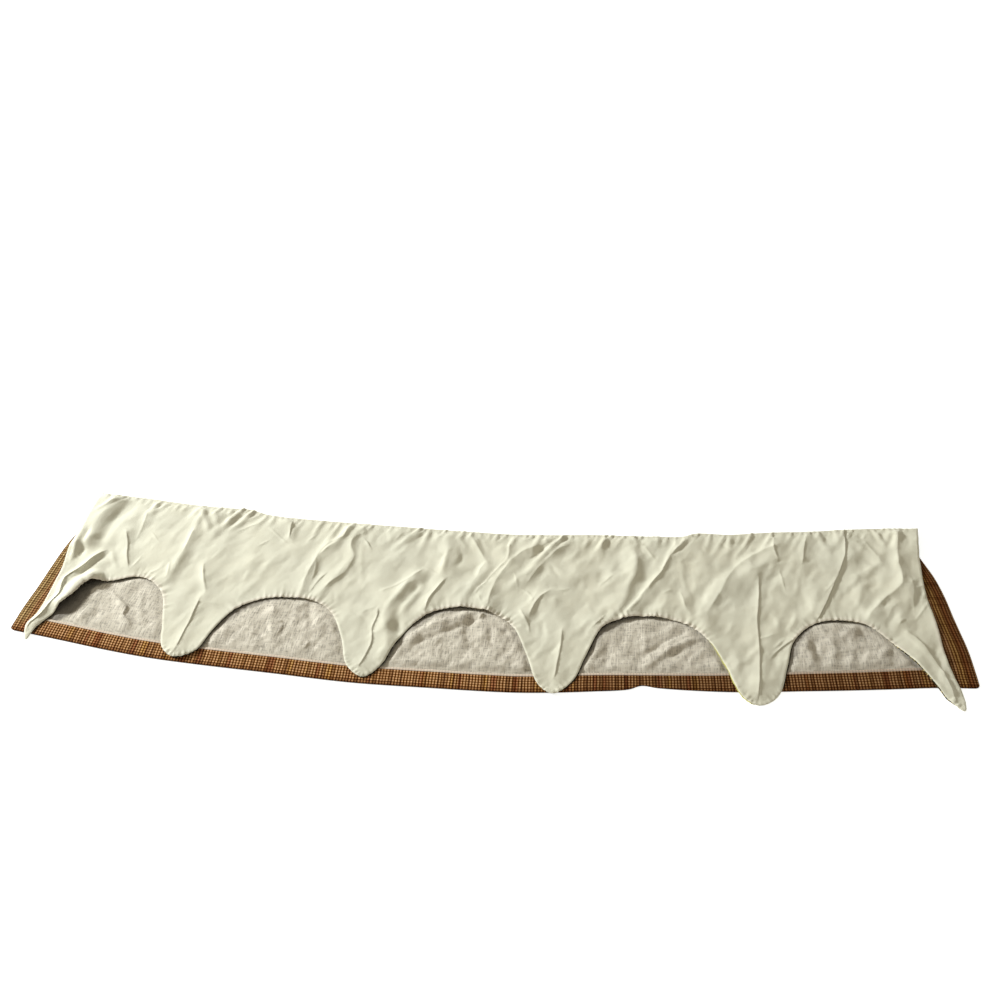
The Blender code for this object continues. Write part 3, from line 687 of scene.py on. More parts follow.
def cloth(name, triangles, over, under, thread, bulge, material, **marks):
    """A closed sheet from its two faces, joined at the outline by a rounded rim.

    thread holds each point's place on the cut cloth, in millimetres, and becomes the UV map.
    marks are further values for each point, kept as attributes that the material reads.
    """
    count = len(over)
    rim = rim_of(triangles)
    middle_of = {a: 2 * count + i for i, (a, _) in enumerate(rim)}
    edge = np.array([a for a, _ in rim])
    middle = (over[edge] + under[edge]) * 0.5 + outward(over, rim)[edge] * bulge
    verts = np.vstack([over, under, middle]) * MM + ORIGIN
    faces = triangles.tolist() + [(a + count, c + count, b + count) for a, b, c in triangles.tolist()]
    for a, b in rim:
        faces.append((b, a, middle_of[a], middle_of[b]))
        faces.append((middle_of[b], middle_of[a], a + count, b + count))
    mesh = bpy.data.meshes.new(name)
    mesh.from_pydata(verts.tolist(), [], faces)
    corners = np.empty(len(mesh.loops), int)
    mesh.loops.foreach_get("vertex_index", corners)
    places = np.vstack([thread, thread, thread[edge]]) * MM
    mesh.uv_layers.new(name="threads").data.foreach_set("uv", places[corners].ravel())
    for mark, values in marks.items():
        layer = mesh.attributes.new(mark, "FLOAT", "POINT")
        layer.data.foreach_set("value", np.concatenate([values, values, values[edge]]))
    mesh.materials.append(material)
    mesh.shade_smooth()
    return place(name, mesh)


# ---- Node helpers

def fill(tree, node, inputs):
    """Gives a node's inputs their values, or links them to other nodes' sockets."""
    for key, value in inputs.items():
        socket = node.inputs[key]
        if isinstance(value, bpy.types.NodeSocket):
            tree.links.new(value, socket)
        elif socket.type == "RGBA":
            socket.default_value = (*value, 1.0)
        else:
            socket.default_value = value


def shaded(name):
    """A new material and its shader."""
    material = bpy.data.materials.new(name)
    material.use_nodes = True
    return material, material.node_tree.nodes["Principled BSDF"]


class Nodes:
    """Short ways to lay out a cloth's nodes.  u and v run over the cut cloth, in metres."""

    def __init__(self, name):
        self.material, self.shader = shaded(name)
        self.tree = self.material.node_tree
        self.uv = self.add("ShaderNodeUVMap", {}, uv_map="threads").outputs["UV"]
        self.u, self.v, _ = self.add("ShaderNodeSeparateXYZ", {0: self.uv}).outputs

    def add(self, kind, inputs, **settings):
        node = self.tree.nodes.new(kind)
        for key, value in settings.items():
            setattr(node, key, value)
        fill(self.tree, node, inputs)
        return node

    def math(self, operation, *values, clamp=False):
        node = self.add("ShaderNodeMath", dict(enumerate(values)), operation=operation, use_clamp=clamp)
        return node.outputs[0]

    def plus(self, first, second):
        return self.math("ADD", first, second)

    def times(self, first, second, clamp=False):
        return self.math("MULTIPLY", first, second, clamp=clamp)

    def rest(self, share):
        return self.math("SUBTRACT", 1.0, share)

    def mix(self, share, first, second, blend="MIX"):
        inputs = {"Factor": share, "A": first, "B": second}
        return self.add("ShaderNodeMix", inputs, data_type="RGBA", blend_type=blend).outputs["Result"]

    def mark(self, name):
        """A value that the cloth's mesh holds for each of its points."""
        return self.add("ShaderNodeAttribute", {}, attribute_name=name).outputs["Fac"]

    def noise(self, size_mm, detail=2.0, roughness=0.5, stretch=(1.0, 1.0, 1.0)):
        """Noise over the cut cloth, with features about size_mm across."""
        scale = [part / (size_mm * MM) for part in stretch]
        spot = self.add("ShaderNodeVectorMath", {0: self.uv, 1: scale}, operation="MULTIPLY").outputs[0]
        inputs = {"Vector": spot, "Scale": 1.0, "Detail": detail, "Roughness": roughness}
        return self.add("ShaderNodeTexNoise", inputs).outputs["Fac"]

    def span(self, value, low, high, to_low=0.0, to_high=1.0):
        inputs = {"Value": value, "From Min": low, "From Max": high, "To Min": to_low, "To Max": to_high}
        return self.add("ShaderNodeMapRange", inputs).outputs[0]

    def wave(self, along, half_pitch_mm):
        """Sine along u or v that changes sign after each half pitch."""
        return self.math("SINE", self.times(along, math.pi / (half_pitch_mm * MM)))

    def weave(self, pitch_mm):
        """Height of a plain weave, 0 to 1: warp and weft take turns on top."""
        turn_u, turn_v = self.wave(self.u, pitch_mm), self.wave(self.v, pitch_mm)
        on_top = self.span(self.times(turn_u, turn_v), -0.25, 0.25)
        warp, weft = self.math("ABSOLUTE", turn_u), self.math("ABSOLUTE", turn_v)
        return self.plus(self.times(warp, on_top), self.times(weft, self.rest(on_top)))

    def pits(self, size_mm, warp_mm):
        """Cone-sided pits about size_mm across that meet in crisp, slightly bent ridges."""
        noise = self.add("ShaderNodeTexNoise", {"Vector": self.uv, "Scale": 1.0 / (1.6 * size_mm * MM)})
        bend = {0: noise.outputs["Color"], 1: [warp_mm * MM] * 3, 2: self.uv}
        spot = self.add("ShaderNodeVectorMath", bend, operation="MULTIPLY_ADD").outputs[0]
        inputs = {"Vector": spot, "Scale": 1.0 / (size_mm * MM)}
        return self.add("ShaderNodeTexVoronoi", inputs, voronoi_dimensions="2D").outputs["Distance"]

    def finish(self, colour, roughness, heights, sheen=0.0, specular=0.25):
        """Joins up the shader.  heights lists (height socket, depth in mm) pairs for the bump."""
        normal = {}
        for height, depth in heights:
            inputs = {"Strength": 1.0, "Distance": depth * MM, "Height": height, **normal}
            normal = {"Normal": self.add("ShaderNodeBump", inputs).outputs["Normal"]}
        fill(self.tree, self.shader, {
            "Base Color": colour, "Roughness": roughness, "Specular IOR Level": specular,
            "Sheen Weight": sheen, "Sheen Roughness": 0.5, **normal})
        return self.material


# ---- Materials

def cream_lining():
    n = Nodes("cream_lining")
    # wide and small blotches
    tone = n.mix(n.span(n.noise(150, 3), 0.35, 0.7), (0.862, 0.850, 0.722), (0.842, 0.816, 0.672))
    tone = n.mix(n.span(n.noise(22, 4), 0.3, 0.75, 0.0, 0.6), tone, (0.788, 0.775, 0.650))
    # thin and thick threads, and the seam's layers showing through along the scallops
    weave = n.weave(0.7)
    slub = n.noise(0.9, 2, 0.6, (1.0, 0.12, 1.0))
    shade = n.plus(n.times(weave, 0.05), n.times(slub, 0.05))
    tone = n.mix(n.math("SUBTRACT", 0.09, shade, clamp=True), tone, (0.45, 0.42, 0.34))
    tone = n.mix(n.times(n.mark("stitched"), 0.45), tone, (0.86, 0.77, 0.68))
    return n.finish(tone, 0.82, [(weave, 0.08), (slub, 0.06), (n.noise(8, 3), 0.12)], sheen=0.12)


def coarse_lining():
    n = Nodes("coarse_lining")
    tone = n.mix(n.span(n.noise(60, 3), 0.3, 0.7), (0.985, 0.920, 0.800), (0.910, 0.850, 0.735))
    weave = n.weave(1.8)
    warp_slub = n.noise(2.6, 3, 0.65, (1.0, 0.12, 1.0))
    weft_slub = n.noise(3.4, 2, 0.6, (0.16, 1.0, 1.0))
    slub = n.plus(n.times(warp_slub, 1.3), n.times(weft_slub, 0.7))
    gaps = n.times(n.rest(weave), n.span(slub, 0.8, 1.2, 1.1, 0.3))
    # dark gaps between the threads, thin threads, thick threads, and painted shade that darkens the cloth
    # towards the right, where the lamp's light falls off
    tone = n.mix(n.times(gaps, 0.66, clamp=True), tone, (0.22, 0.19, 0.15))
    tone = n.mix(n.span(slub, 1.0, 0.74, 0.0, 0.62), tone, (0.30, 0.27, 0.23))
    tone = n.mix(n.span(slub, 1.04, 1.3, 0.0, 0.6), tone, (0.88, 0.82, 0.72))
    tone = n.mix(n.span(n.u, 1.1, 1.6, 0.0, 0.16), tone, (0.42, 0.41, 0.39))
    # painted shadow that the overlay's lifted edge throws on the lining
    tone = n.mix(n.mark("in_shade"), tone, (0.16, 0.14, 0.12))
    heights = [(weave, 0.45), (slub, 0.8), (n.noise(9, 3), 0.6), (n.pits(11, 9), 0.5)]
    return n.finish(tone, 0.92, heights, sheen=0.05)


# bands: along which way they change, size in mm, the noise that starts and fills them, seed, tint
Check = namedtuple("Check", "pitch light middle dark fold_line bands")
HOMESPUN = Check(
    pitch=5.7, light=(1.0, 0.59, 0.30), middle=(0.24, 0.084, 0.012), dark=(0.024, 0.006, 0.001),
    # fold_line: colour of the painted highlight along the hems' inner fold edges
    fold_line=(1.0, 0.86, 0.73), bands=(
        ("u", 26.0, 0.60, 0.70, 3.0, (1.0, 1.0, 0.74)),
        ("u", 19.0, 0.57, 0.65, 71.0, (0.70, 0.52, 0.49)),
        ("u", 9.0, 0.52, 0.60, 37.0, (0.56, 0.50, 0.44)),
        ("v", 13.0, 0.58, 0.66, 53.0, (0.66, 0.58, 0.52))))
GOLD_CHECK = Check(
    pitch=4.6, light=(0.80, 0.66, 0.30), middle=(0.24, 0.19, 0.08), dark=(0.012, 0.010, 0.008),
    fold_line=(0.82, 0.78, 0.24), bands=(("u", 20.0, 0.52, 0.60, 3.0, (0.75, 0.70, 0.50)),))
YARN_SWAY = 2.4             # how far the yarns stray from straight lines


def yarn_dyed_check(name, check, worn):
    """Light and dark yarns in turn both ways, with bands of redder, more golden and darker yarns."""
    n = Nodes(name)

    def dark_yarns(along, sway):
        along = n.plus(along, n.times(n.math("SUBTRACT", sway, 0.5), YARN_SWAY * MM))
        return n.span(n.wave(along, 0.5 * check.pitch), -0.10, 0.30)

    def band(along, size_mm, low, high, seed):
        inputs = {"W": n.plus(n.times(along, 1.0 / (size_mm * MM)), seed), "Scale": 1.0, "Detail": 2.0}
        return n.span(n.add("ShaderNodeTexNoise", inputs, noise_dimensions="1D").outputs["Fac"], low, high)

    warp, weft = dark_yarns(n.u, n.noise(30, 2)), n.times(dark_yarns(n.v, n.noise(34, 2)), 0.8)
    if "striped" in worn:
        weft = n.times(weft, n.span(n.mark("striped"), 0.0, 1.0, 1.0, 0.55))
    crossings = n.times(warp, weft)
    either = n.math("SUBTRACT", n.plus(warp, weft), crossings)
    light = check.light
    # painted light: the left side hem, which faces the lamp, is drawn lighter and more golden
    if "golden" in worn:
        light = n.mix(n.mark("golden"), light, (1.0, 0.76, 0.38))
        either = n.times(either, n.span(n.mark("golden"), 0.0, 1.0, 1.0, 0.78))
    tone = n.mix(either, light, check.middle)
    tone = n.mix(crossings, tone, check.dark)
    for way, *band_row, tint in check.bands:
        tone = n.mix(band({"u": n.u, "v": n.v}[way], *band_row), tone, tint, "MULTIPLY")
    tone = n.mix(n.span(n.noise(5, 3), 0.35, 0.7, 0.0, 0.3), tone, (0.6, 0.55, 0.5), "MULTIPLY")
    # painted shade along the hems' outer fold edges and on the right hem beside the overlay, and darker
    # cloth towards the right
    if "hem_shade" in worn:
        tone = n.mix(n.times(n.mark("hem_shade"), 0.7), tone, check.dark)
    # painted highlight along the hem's inner fold edge, pale where the warp yarn is light
    if "hem_edge" in worn:
        edge = n.times(n.mark("hem_edge"), n.span(warp, 0.0, 1.0, 1.0, 0.85))
        tone = n.mix(edge, tone, check.fold_line)
    # painted shade on the face cloth's rolled-out rim under the scallops' edges, and the check's dark dashes
    if "dark_edge" in worn:
        tone = n.mix(n.times(n.mark("dark_edge"), 0.95), tone, check.dark)
    if "yellow_edge" in worn:
        tone = n.mix(n.times(n.mark("yellow_edge"), 0.85), tone, check.fold_line)
    weave = n.weave(0.8)
    tone = n.mix(n.times(n.rest(weave), 0.3), tone, check.dark)
    slub = n.noise(1.3, 2, 0.6, (0.15, 1.0, 1.0))
    return n.finish(tone, 0.88, [(weave, 0.22), (slub, 0.15)], specular=0.02)


# ---- Overlay

def overlay_hanging():
    """The overlay's outline below the seam, counter-clockwise from its top left corner."""
    lower = list(OVERLAY_LEFT)
    for flap, scallop in zip(FLAPS, SCALLOPS):
        lower += list(flap) + list(scallop)
    return smooth([*lower, *FLAPS[-1], *OVERLAY_RIGHT])


def overlay_ring(step, seam_step):
    """The overlay's whole outline."""
    return np.vstack([respace(overlay_hanging(), step)[:-1], respace(TOP_CURVE[::-1], seam_step)[:-1]])


def seam_puckers(points):
    """Short slanting wrinkles that the gathered top seam throws into the overlay."""
    rng = np.random.default_rng(7)
    below = top_y(points[:, 0]) - points[:, 1]
    lift = 0.8 * np.exp(-below / 14.0) * (1.0 + ripple(points, 24.0, 27))
    x = -880.0
    while x < 895.0:
        length = rng.uniform(16.0, 60.0) if rng.random() < 0.75 else rng.uniform(60.0, 110.0)
        depth = rng.uniform(0.9, 2.4) * (0.7 + length / 110.0)
        slant = rng.normal(-0.35, 0.3)
        width = rng.uniform(3.0, 5.5) + 0.03 * length
        near = (below < length) & (np.abs(points[:, 0] - x) < 6.0 * width + length)
        u = (points[near, 0] - x - slant * below[near]) / (width * (0.6 + 0.7 * below[near] / length))
        hat = (1.0 - u * u) * np.exp(-0.5 * u * u)
        lift[near] += depth * hat * ease(1.0 - below[near] / length)
        pocket_width = rng.uniform(1.8, 3.6)
        pocket_reach = rng.uniform(5.0, 11.0)
        near = (below < 3.0 * pocket_reach) & (np.abs(points[:, 0] - x) < 4.0 * pocket_width)
        across = (points[near, 0] - x) / pocket_width
        down = (below[near] - 2.5) / pocket_reach
        lift[near] -= rng.uniform(1.3, 3.2) * np.exp(-across ** 2 - down ** 2)
        x += rng.uniform(8.0, 24.0)
    return lift


def edge_shape(distance, along, edge_points):
    """The turned edge: rolled over at the very rim, a soft bead behind it, and small puckers."""
    x, y = edge_points.T
    roll = -0.7 * (1.0 - ease(distance / 2.0))
    bead = 0.25 * np.exp(-((distance - 3.5) / 2.2) ** 2) - 0.2 * np.exp(-((distance - 8.5) / 2.6) ** 2)
    on_top = y > top_y(x) - 3.0
    on_side = (np.abs(x) > 868.0) & (y > 40.0)       # at the overlay's two ends
    crown = np.where(on_top | on_side, 0.12, ramp(y, 45.0, 90.0))
    tip = np.where(on_top, 0.0, ramp(y, -15.0, -30.0))
    share = np.maximum(0.22, np.maximum(crown, 0.8 * tip))
    vary = 0.6 + 0.6 * wander(along, 400.0, 17.0, 4)
    pucker = np.sin(2.0 * math.pi * along / PUCKER_PITCH + 5.0 * wander(along, 0.0, 31.0, 3))
    return roll + bead + 1.9 * share * vary * pucker * np.exp(-(distance / 15.0) ** 1.6)


def overlay_height(points):
    """Underside of the overlay before its edge is shaped and it settles, and how far folds lean."""
    x, y = points.T
    seam = ease((top_y(x) - y) / SEAM_RISE)
    past = bottom_y(x) - y - TIP_FALL_START
    loose = OVERLAY_UNDER - (OVERLAY_UNDER - TIP_UNDER) * ease(past / TIP_FALL)
    level = SEAM_UNDER + (loose - SEAM_UNDER) * seam
    share = SEAM_FOLD_SHARE + (1.0 - SEAM_FOLD_SHARE) * seam
    folds, lean = crease_lift(points, OVERLAY_FOLDS)
    fine, fine_lean = crease_lift(points, OVERLAY_CREASES)
    wrinkles, _ = crease_lift(points, PANEL_WRINKLES)
    on_panel = ease((y - bottom_y(x) + 8.0) / 30.0)
    rightwards = ramp(x, -480.0, 270.0)
    billow = (2.1 * ripple(points, 80.0, 11) + 1.1 * ripple(points, 40.0, 12)) * (1.0 + 0.35 * rightwards)
    slant = np.column_stack([x - 0.45 * y, 0.5 * y])
    bent = slant + 4.0 * ripples(points, 21.0, 17, 18)
    strength = (0.35 + 0.65 * ease(0.5 + ripple(points, 60.0, 16))) * (1.2 + 1.1 * rightwards)
    crumple = (
        2.2 * strength * (facets(bent, 38.0, 19) - 0.4) + 0.75 * strength * (facets(bent, 17.0, 20) - 0.4)
        + 0.35 * (0.5 - np.abs(ripple(slant, 17.0, 15))) + 0.08 * ripple(points, 7.0, 14))
    loose_part = (billow + 1.2) * on_panel + crumple * (0.4 + 0.6 * on_panel)
    height = level + share * (folds + fine + wrinkles + loose_part) + seam_puckers(points)
    return height, (lean + fine_lean) * share[:, None]


def settle(points, height):
    """Lets the overlay's underside land softly on the seam, the hem and the lining beneath it."""
    x, y = points.T
    on_panel = ease((y - bottom_y(x) + 4.0) / 6.0)
    lowest = TIP_LOWEST + (RESTING_UNDER - TIP_LOWEST) * on_panel
    lowest = np.where(top_y(x) - y < SEAM_DEPTH + 3.0, SEAM_UNDER, lowest)
    clear = height - lowest
    return lowest + 0.5 * (clear + np.sqrt(clear ** 2 + SOFT_LANDING))


def overlay_net():
    """Points and triangles, and the outline as each point has it nearest: distance, run, spot and climb."""
    ring = overlay_ring(EDGE_STEP, EDGE_STEP)
    fine = overlay_ring(OUTLINE_STEP, OUTLINE_STEP)
    rows = np.vstack([ring + inward(ring) * depth for depth in EDGE_ROWS])
    kept = ring
    for points, margin, clearance in (
        (rows, 0.9, 1.5),
        (crease_rows(OVERLAY_CREASES + OVERLAY_FOLDS), 1.2, 0.75),
        (lattice(ring, OVERLAY_STEP), 3.2, 2.8),
    ):
        points = points[inside(points, ring)]
        _, distance = nearest(points, fine)
        kept = thin(points[distance > margin], kept, clearance)
    points, _, triangles = triangulate([ring], kept[len(ring):])
    index, distance = nearest(points, fine)
    return points, triangles, distance, index * OUTLINE_STEP, fine[index], headings(fine)[index, 1]


def face_rim(edge_points, climb):
    """How far the face cloth rolls out from under the lining, and where it shows painted shade, dark dashes
    and yellow. Along the crowns and the scallops' left sides, the rolled-out rim is painted near-black as
    shade under the lining's edge.

    climb says how steeply the outline rises there, so above zero on the left side of a scallop.
    """
    x, y = edge_points.T
    scallop = (y < 160.0) & (y > bottom_y(x) + 6.0) & (x < 800.0)
    # painted shade: along the crowns and the scallops' left sides the face cloth's rim rolls out and is
    # painted near-black
    dark = ease((climb + 0.35) / 0.4) * scallop
    # the fifth flap's left side, and the right side of the last scallop
    yellow = ramp(x, 425.0, 445.0) * ramp(x, 506.0, 494.0) * ramp(y, 110.0, 80.0)
    checked = ramp(x, 770.0, 795.0) * ramp(x, 866.0, 854.0) * ramp(y, 100.0, 80.0)
    shows = np.maximum(1.9 * dark, np.maximum(1.8 * yellow, 2.2 * checked * (y < 110.0)))
    dashes = checked * ease(0.5 + 2.2 * ripple(edge_points, 5.0, 28))
    uneven = 1.0 + 0.5 * ripple(edge_points, 9.0, 25)
    # the second value holds the painted shade and the check's dark dashes
    return shows * uneven, np.maximum(dark * (1.0 - yellow) * (1.0 - checked), dashes), yellow


def overlay(face_material, lining_material):
    """The overlay's lining, and its face cloth close under it."""
    points, triangles, distance, along, edge_points, climb = overlay_net()
    height, lean = overlay_height(points)
    height = settle(points, height + edge_shape(distance, along, edge_points))
    thickness = 2.0 * OVERLAY_PLY + PLY_GAP
    top = np.column_stack([points + lean, np.maximum(height, FLOOR_GAP) + thickness])
    normals = vertex_normals(top, triangles)
    under = top - normals * OVERLAY_PLY
    threads = np.column_stack([points[:, 0] * OVERLAY_FULLNESS, points[:, 1] - top_y(points[:, 0])])
    scalloped = ramp(edge_points[:, 1], 60.0, 90.0) * (edge_points[:, 1] < 160.0)
    lining = cloth(
        "overlay_lining_cloth", triangles, top, under, threads, RIM_BULGE, lining_material,
        stitched=scalloped * ease(1.3 - distance / 7.0))

    # the face cloth's rim: painted shade under the scallops' edges, dark dashes, and a yellow edge
    peep, dark_edge, yellow_edge = face_rim(edge_points, climb)
    face_top = under - normals * PLY_GAP + outward(points, rim_of(triangles)) * peep[:, None]
    face_under = face_top - normals * OVERLAY_PLY
    face_top[:, 2] = np.maximum(face_top[:, 2], FLOOR_GAP + OVERLAY_PLY)
    face_under[:, 2] = np.maximum(face_under[:, 2], FLOOR_GAP)
    face = cloth(
        "overlay_face_cloth", triangles, face_top, face_under, threads, RIM_BULGE, face_material,
        dark_edge=dark_edge, yellow_edge=yellow_edge)
    return lining, face


# ---- Panel

def panel_ring(inset, top_inset, radius, step):
    """The panel's outline drawn in by the given amounts, counter-clockwise, bottom corners rounded."""
    def low_y(x):
        return hem_y(x, inset)

    def high_y(x):
        return top_y(x) - top_inset

    def run(start, stop):
        return np.linspace(start, stop, max(2, round(abs(stop - start) / step)) + 1)

    def bend(x, y, start):
        """The corner's rounding, a quarter turn about x and y, without its ends."""
        arc = np.linspace(start, start + 0.5 * math.pi, 6)[1:-1] if radius else ()
        return [(x + radius * math.cos(a), y + radius * math.sin(a)) for a in arc]

    right = inset * RIGHT_HEM
    corners = []                      # each found by going to and fro between its two edges
    for edge_x, inwards in ((left_x, inset), (right_x, -right)):
        for edge_y in (low_y, high_y):
            y = 0.0
            for _ in range(4):
                x = edge_x(y) + inwards
                y = edge_y(x)
            corners.append((float(x), float(y)))
    low_left, high_left, low_right, high_right = corners
    ring = np.array([
        *((x, low_y(x)) for x in run(low_left[0] + radius, low_right[0] - radius)),
        *bend(low_right[0] - radius, low_right[1] + radius, -0.5 * math.pi),
        *((right_x(y) - right, y) for y in run(low_right[1] + radius, high_right[1])),
        *((x, high_y(x)) for x in run(high_right[0], high_left[0])[1:]),
        *((left_x(y) + inset, y) for y in run(high_left[1], low_left[1] + radius)[1:]),
        *bend(low_left[0] + radius, low_left[1] + radius, math.pi),
    ])
    steps = np.hypot(*(ring - np.roll(ring, 1, axis=0)).T)
    return ring[steps > LEAST_STEP]


def panel_threads(points):
    """Places on the cut cloth, whose threads follow the panel's own edges."""
    x, y = points.T
    left, right = left_x(y), right_x(y)
    return np.column_stack([(x - left) / (right - left) * PANEL_WIDTH, y - hem_line_y(x)])


HemRow = namedtuple("HemRow", "drawn lies over under")
HEM_PROFILE = (                       # drawn: inset on the net; lies: inset as it lies; faces' heights
    HemRow(0.0, 0.35, 1.5, 0.55),
    HemRow(0.5, 0.6, 2.25, 0.1),
    HemRow(1.4, 1.5, 2.6, 0.0),
    HemRow(35.2, 35.2, 2.6, 0.0),
    HemRow(36.2, 36.2, 2.85, 0.0),
    HemRow(39.0, 39.0, 2.9, 0.0),
    HemRow(40.0, 40.5, 2.5, 0.0),
    HemRow(40.5, 40.9, 2.15, 0.0),
    HemRow(41.0, 40.3, 1.85, 0.0),
    HemRow(41.5, 38.4, 1.5, 0.0),
    HemRow(42.0, 38.2, 0.85, 0.0),
    HemRow(43.5, 43.5, 0.8, 0.0),
)
ON_HEM = 1.45               # the checked cloth's top lies above this only on the hems
FOLD_LINE = 35.3            # the painted highlight along a hem's inner fold edge starts this far in


def check_panel(material):
    """The checked cloth: one ply on the floor, its turned hem lying over the lining's edge."""
    rings, lies, over, under = [], [], [], []
    for row in HEM_PROFILE:
        radius = max(CORNER_RADIUS - row.drawn, 0.0)
        ring = panel_ring(row.drawn, row.drawn * SEAM_SHARE + 1.0, radius, HEM_RIM_STEP)
        rings.append(ring)
        lies.append(ring + inward(ring) * (row.lies - row.drawn))
        over += [row.over] * len(ring)
        under += [row.under] * len(ring)
    outline, hem_outer, hem_inner, ground = rings[0], rings[2], rings[3], rings[-1]
    hem = lattice(outline, HEM_STEP)
    hem = hem[inside(hem, hem_outer) & ~inside(hem, hem_inner)]
    sides = np.vstack([hem_outer, hem_inner])
    hem = thin(hem, sides, clearance=3.0)[len(sides):]
    wide = thin(lattice(ground, GROUND_STEP), ground, clearance=12.0)[len(ground):]
    points, source, triangles = triangulate(rings, np.vstack([hem, wide]))
    placed = np.vstack([*lies, hem, wide])[source]
    over = np.array(over + [HEM_TOP] * len(hem) + [GROUND_PLY] * len(wide))[source]
    under = np.array(under + [0.0] * (len(hem) + len(wide)))[source]
    over = over + (over > ON_HEM) * (0.22 * ripple(points, 16.0, 21) + 0.3 * ripple(points, 48.0, 22))

    x, y = points.T
    side = np.minimum(x - left_x(y), (right_x(y) - x) / RIGHT_HEM)
    inset = np.minimum(side, hem_inset(x, y))
    # painted highlight along the hems' inner fold edges, fainter towards the right
    line = ease((inset - FOLD_LINE) / 0.8) * (side > inset + 0.5) * (1.0 - 0.4 * ramp(x, 100.0, 600.0))
    # painted light on the left side hem, which faces the lamp
    golden = ramp(x, -845.0, -865.0) * ramp(y, 5.0, 35.0)
    right_side = ramp(x, 820.0, 880.0) * ramp(y, 20.0, 60.0)
    # painted shade along the hems' outer fold edges, left out on the left side, which faces the lamp
    outer_edge = np.where((x < -860.0) & (y > 12.0), 0.0, 1.0 - ease((inset - 0.3) / 1.6))
    # painted shadow of the overlay on the right hem's inner part
    right_fold = right_side * ease((side - HEM_DEPTH + 4.0) / 2.5)
    # hem_shade: that painted shade, the right side hem darker, and the cloth darker towards the right
    shade = np.maximum.reduce([outer_edge, 0.68 * ramp(x, -60.0, 370.0), 0.8 * right_side, right_fold])
    return cloth(
        "check_panel_cloth", triangles, np.column_stack([placed, over]), np.column_stack([placed, under]),
        panel_threads(points), RIM_BULGE, material,
        hem_edge=line, hem_shade=shade, striped=right_side, golden=golden)


def panel_lining(material):
    """The coarse lining, wrinkled where it shows, with a painted shadow along the left sides of the
    scallops.
    """
    ring = panel_ring(HEM_DEPTH + 0.8, SEAM_DEPTH - 1.0, 0.0, LINING_RIM_STEP)
    rows = crease_rows(LINING_CREASES)
    kept = thin(rows[inside(rows, ring)], ring, clearance=1.2)
    inner = thin(lattice(ring, LINING_STEP), kept, clearance=3.0)[len(ring):]
    points, _, triangles = triangulate([ring], inner)
    x, y = points.T
    _, distance = nearest(points, respace(np.vstack([ring, ring[:1]]), 1.0))
    free = ease((distance - 1.5) / 14.0)
    wrinkles, _ = crease_lift(points, PANEL_WRINKLES)
    fine, _ = crease_lift(points, LINING_CREASES)
    slant = np.column_stack([x - 0.5 * y, 0.6 * y])
    bent = slant + 3.0 * ripples(points, 15.0, 35, 36)
    crumple = (
        2.0 * (ripple(points, 36.0, 31) + 0.6) + 3.0 * facets(bent, 27.0, 32) + 0.9 * facets(bent, 12.0, 34)
        + 0.7 * ripple(slant, 11.0, 37) + 0.15 * ripple(points, 5.0, 33))
    edge = respace(overlay_hanging(), 1.5)
    index, past = nearest(points, edge)
    # nearly flat under the overlay, and smoother around the fourth scallop's placed creases
    crumple *= 0.08 + 0.92 * ease(past / 14.0) * ~inside(points, overlay_ring(6.0, 20.0))
    crumple *= 1.0 - 0.45 * ramp(x, 225.0, 255.0) * ramp(x, 450.0, 420.0)
    folds = 0.8 * wrinkles + 1.1 * fine + (0.65 + 0.75 * ramp(x, -700.0, 0.0)) * crumple
    under = np.maximum(LINING_HELD + (LINING_UNDER - LINING_HELD + folds) * free, LINING_HELD)

    # the overlay's painted shadow on the lining: wider beside the scallops' shoulders, widest beside the
    # left half flap
    edge_y, climb = edge[index, 1], headings(edge)[index, 1]
    leftmost = ramp(x, -775.0, -805.0)
    shoulder = ramp(edge_y, 20.0, 60.0) * ramp(edge_y, 130.0, 105.0)
    reach = 6.0 + 10.0 * shoulder + 3.0 * ripple(points, 45.0, 38) + 15.0 * leftmost
    shade = ease((climb + 0.1) / 0.5) * ease((reach - past) / 6.0) * (x < 795.0) * (0.55 + 0.27 * leftmost)
    return cloth(
        "panel_lining_cloth", triangles, np.column_stack([points, under + LINING_PLY]),
        np.column_stack([points, under]), panel_threads(points), LINING_BULGE, material, in_shade=shade)


# ---- Stage, light and camera

FLOOR_REACH = 6.0
FLOOR_Z = -0.0003


def stage():
    """A plain, pale floor."""
    mesh = bpy.data.meshes.new("floor")
    corners = ((-1, -1), (1, -1), (1, 1), (-1, 1))
    mesh.from_pydata([(x * FLOOR_REACH, y * FLOOR_REACH, FLOOR_Z) for x, y in corners], [], [(0, 1, 2, 3)])
    material, shader = shaded("floor")
    fill(material.node_tree, shader, {
        "Base Color": (0.95, 0.945, 0.95), "Roughness": 0.95, "Specular IOR Level": 0.1,
        "Emission Color": (0.93, 0.97, 1.0), "Emission Strength": 0.75})
    mesh.materials.append(material)
    place("floor", mesh)


KEY_PLACE = (-5.1, 1.78, 2.14)      # metres, a round soft light low at the left and a little behind
KEY_ACROSS = 0.78
KEY_POWER = 468.0
KEY_COLOUR = (0.92, 0.95, 0.93)
ROOM_COLOUR = (1.0, 0.925, 0.75)
ROOM_STRENGTH = 0.36


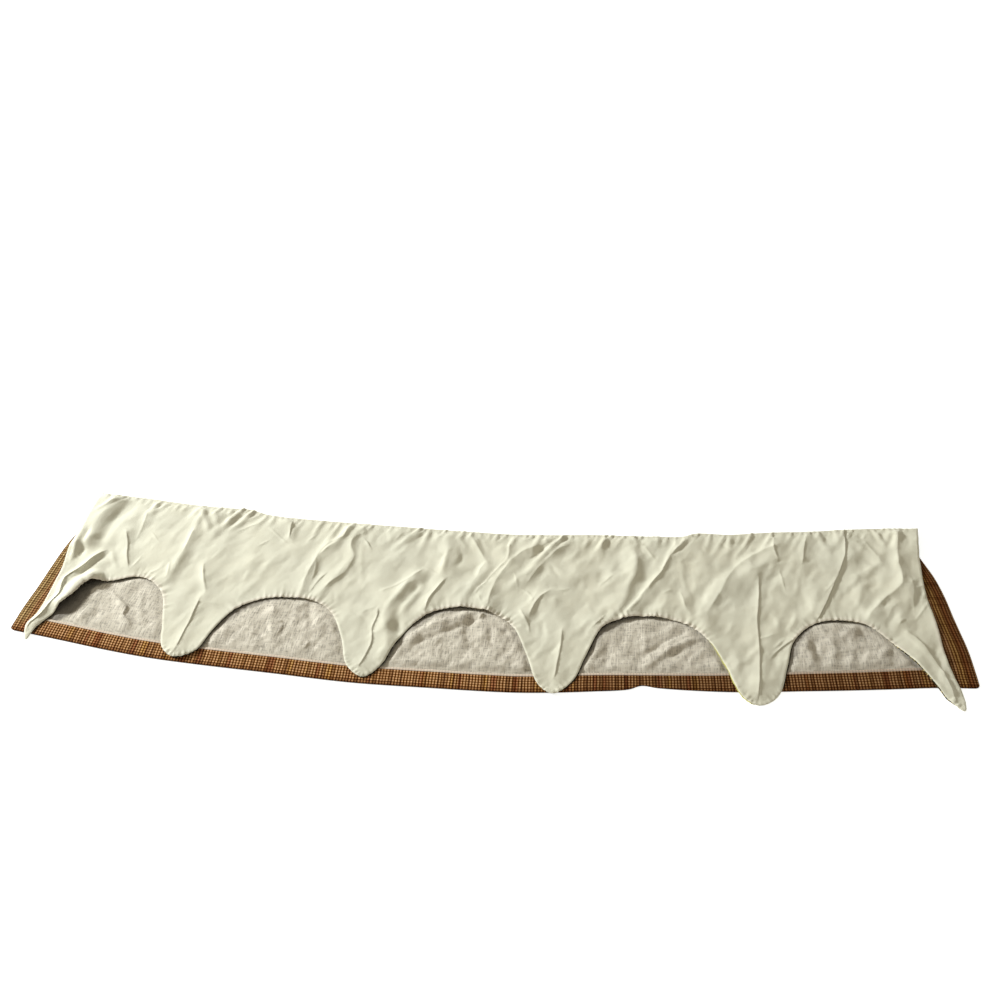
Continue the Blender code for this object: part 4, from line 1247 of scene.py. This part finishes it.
def lights():
    world = bpy.data.worlds.new("studio")
    bpy.context.scene.world = world
    world.use_nodes = True
    background = world.node_tree.nodes["Background"]
    fill(world.node_tree, background, {"Color": ROOM_COLOUR, "Strength": ROOM_STRENGTH})
    light = bpy.data.lights.new("key", "AREA")
    light.shape = "DISK"
    light.size = KEY_ACROSS
    light.energy = KEY_POWER
    light.color = KEY_COLOUR
    lamp = place("key", light)
    lamp.location = KEY_PLACE
    lamp.rotation_euler = (-Vector(KEY_PLACE)).to_track_quat("-Z", "Y").to_euler()


CAMERA_PLACE = (119.0, -1106.0, 1468.0)   # above the plan, in millimetres
CAMERA_DOWN = 43.5                        # degrees, as is the turn
CAMERA_TURN = 4.31
CAMERA_LENS = 34.668


def camera():
    data = bpy.data.cameras.new("camera")
    data.lens = CAMERA_LENS
    data.sensor_width = 36.0
    data.clip_end = 50.0
    eye = place("camera", data)
    eye.location = Vector(np.array(CAMERA_PLACE) * MM + ORIGIN)
    eye.rotation_euler = (math.radians(90.0 - CAMERA_DOWN), 0.0, math.radians(CAMERA_TURN))
    bpy.context.scene.camera = eye
    bpy.context.scene.view_settings.view_transform = "Standard"


def plan_origin():
    """Where the plan's zero lies in the frame: the overlay's outline and its solid share one box."""
    outline = np.vstack([overlay_hanging(), TOP_CURVE]) * MM
    low, high = (np.array(corner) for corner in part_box("overlay_lining"))
    middle = (outline.min(axis=0) + outline.max(axis=0)) * 0.5
    return np.array([*((low + high) * 0.5)[:2] - middle, 0.0])


ORIGIN = plan_origin()
camera()
lights()
stage()

homespun = yarn_dyed_check("homespun_check", HOMESPUN, worn=("striped", "golden", "hem_shade", "hem_edge"))
gold_check = yarn_dyed_check("overlay_check", GOLD_CHECK, worn=("dark_edge", "yellow_edge"))
panel = check_panel(homespun)
lining = panel_lining(coarse_lining())
overlay_top, overlay_face = overlay(gold_check, cream_lining())

for piece, node, slot in (
    (panel, "check_panel", "homespun_check"),
    (lining, "panel_lining", "coarse_lining"),
    (overlay_top, "overlay_lining", "cream_lining"),
    (overlay_face, "overlay_face", "overlay_check"),
):
    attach(piece, "root")
    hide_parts(node)
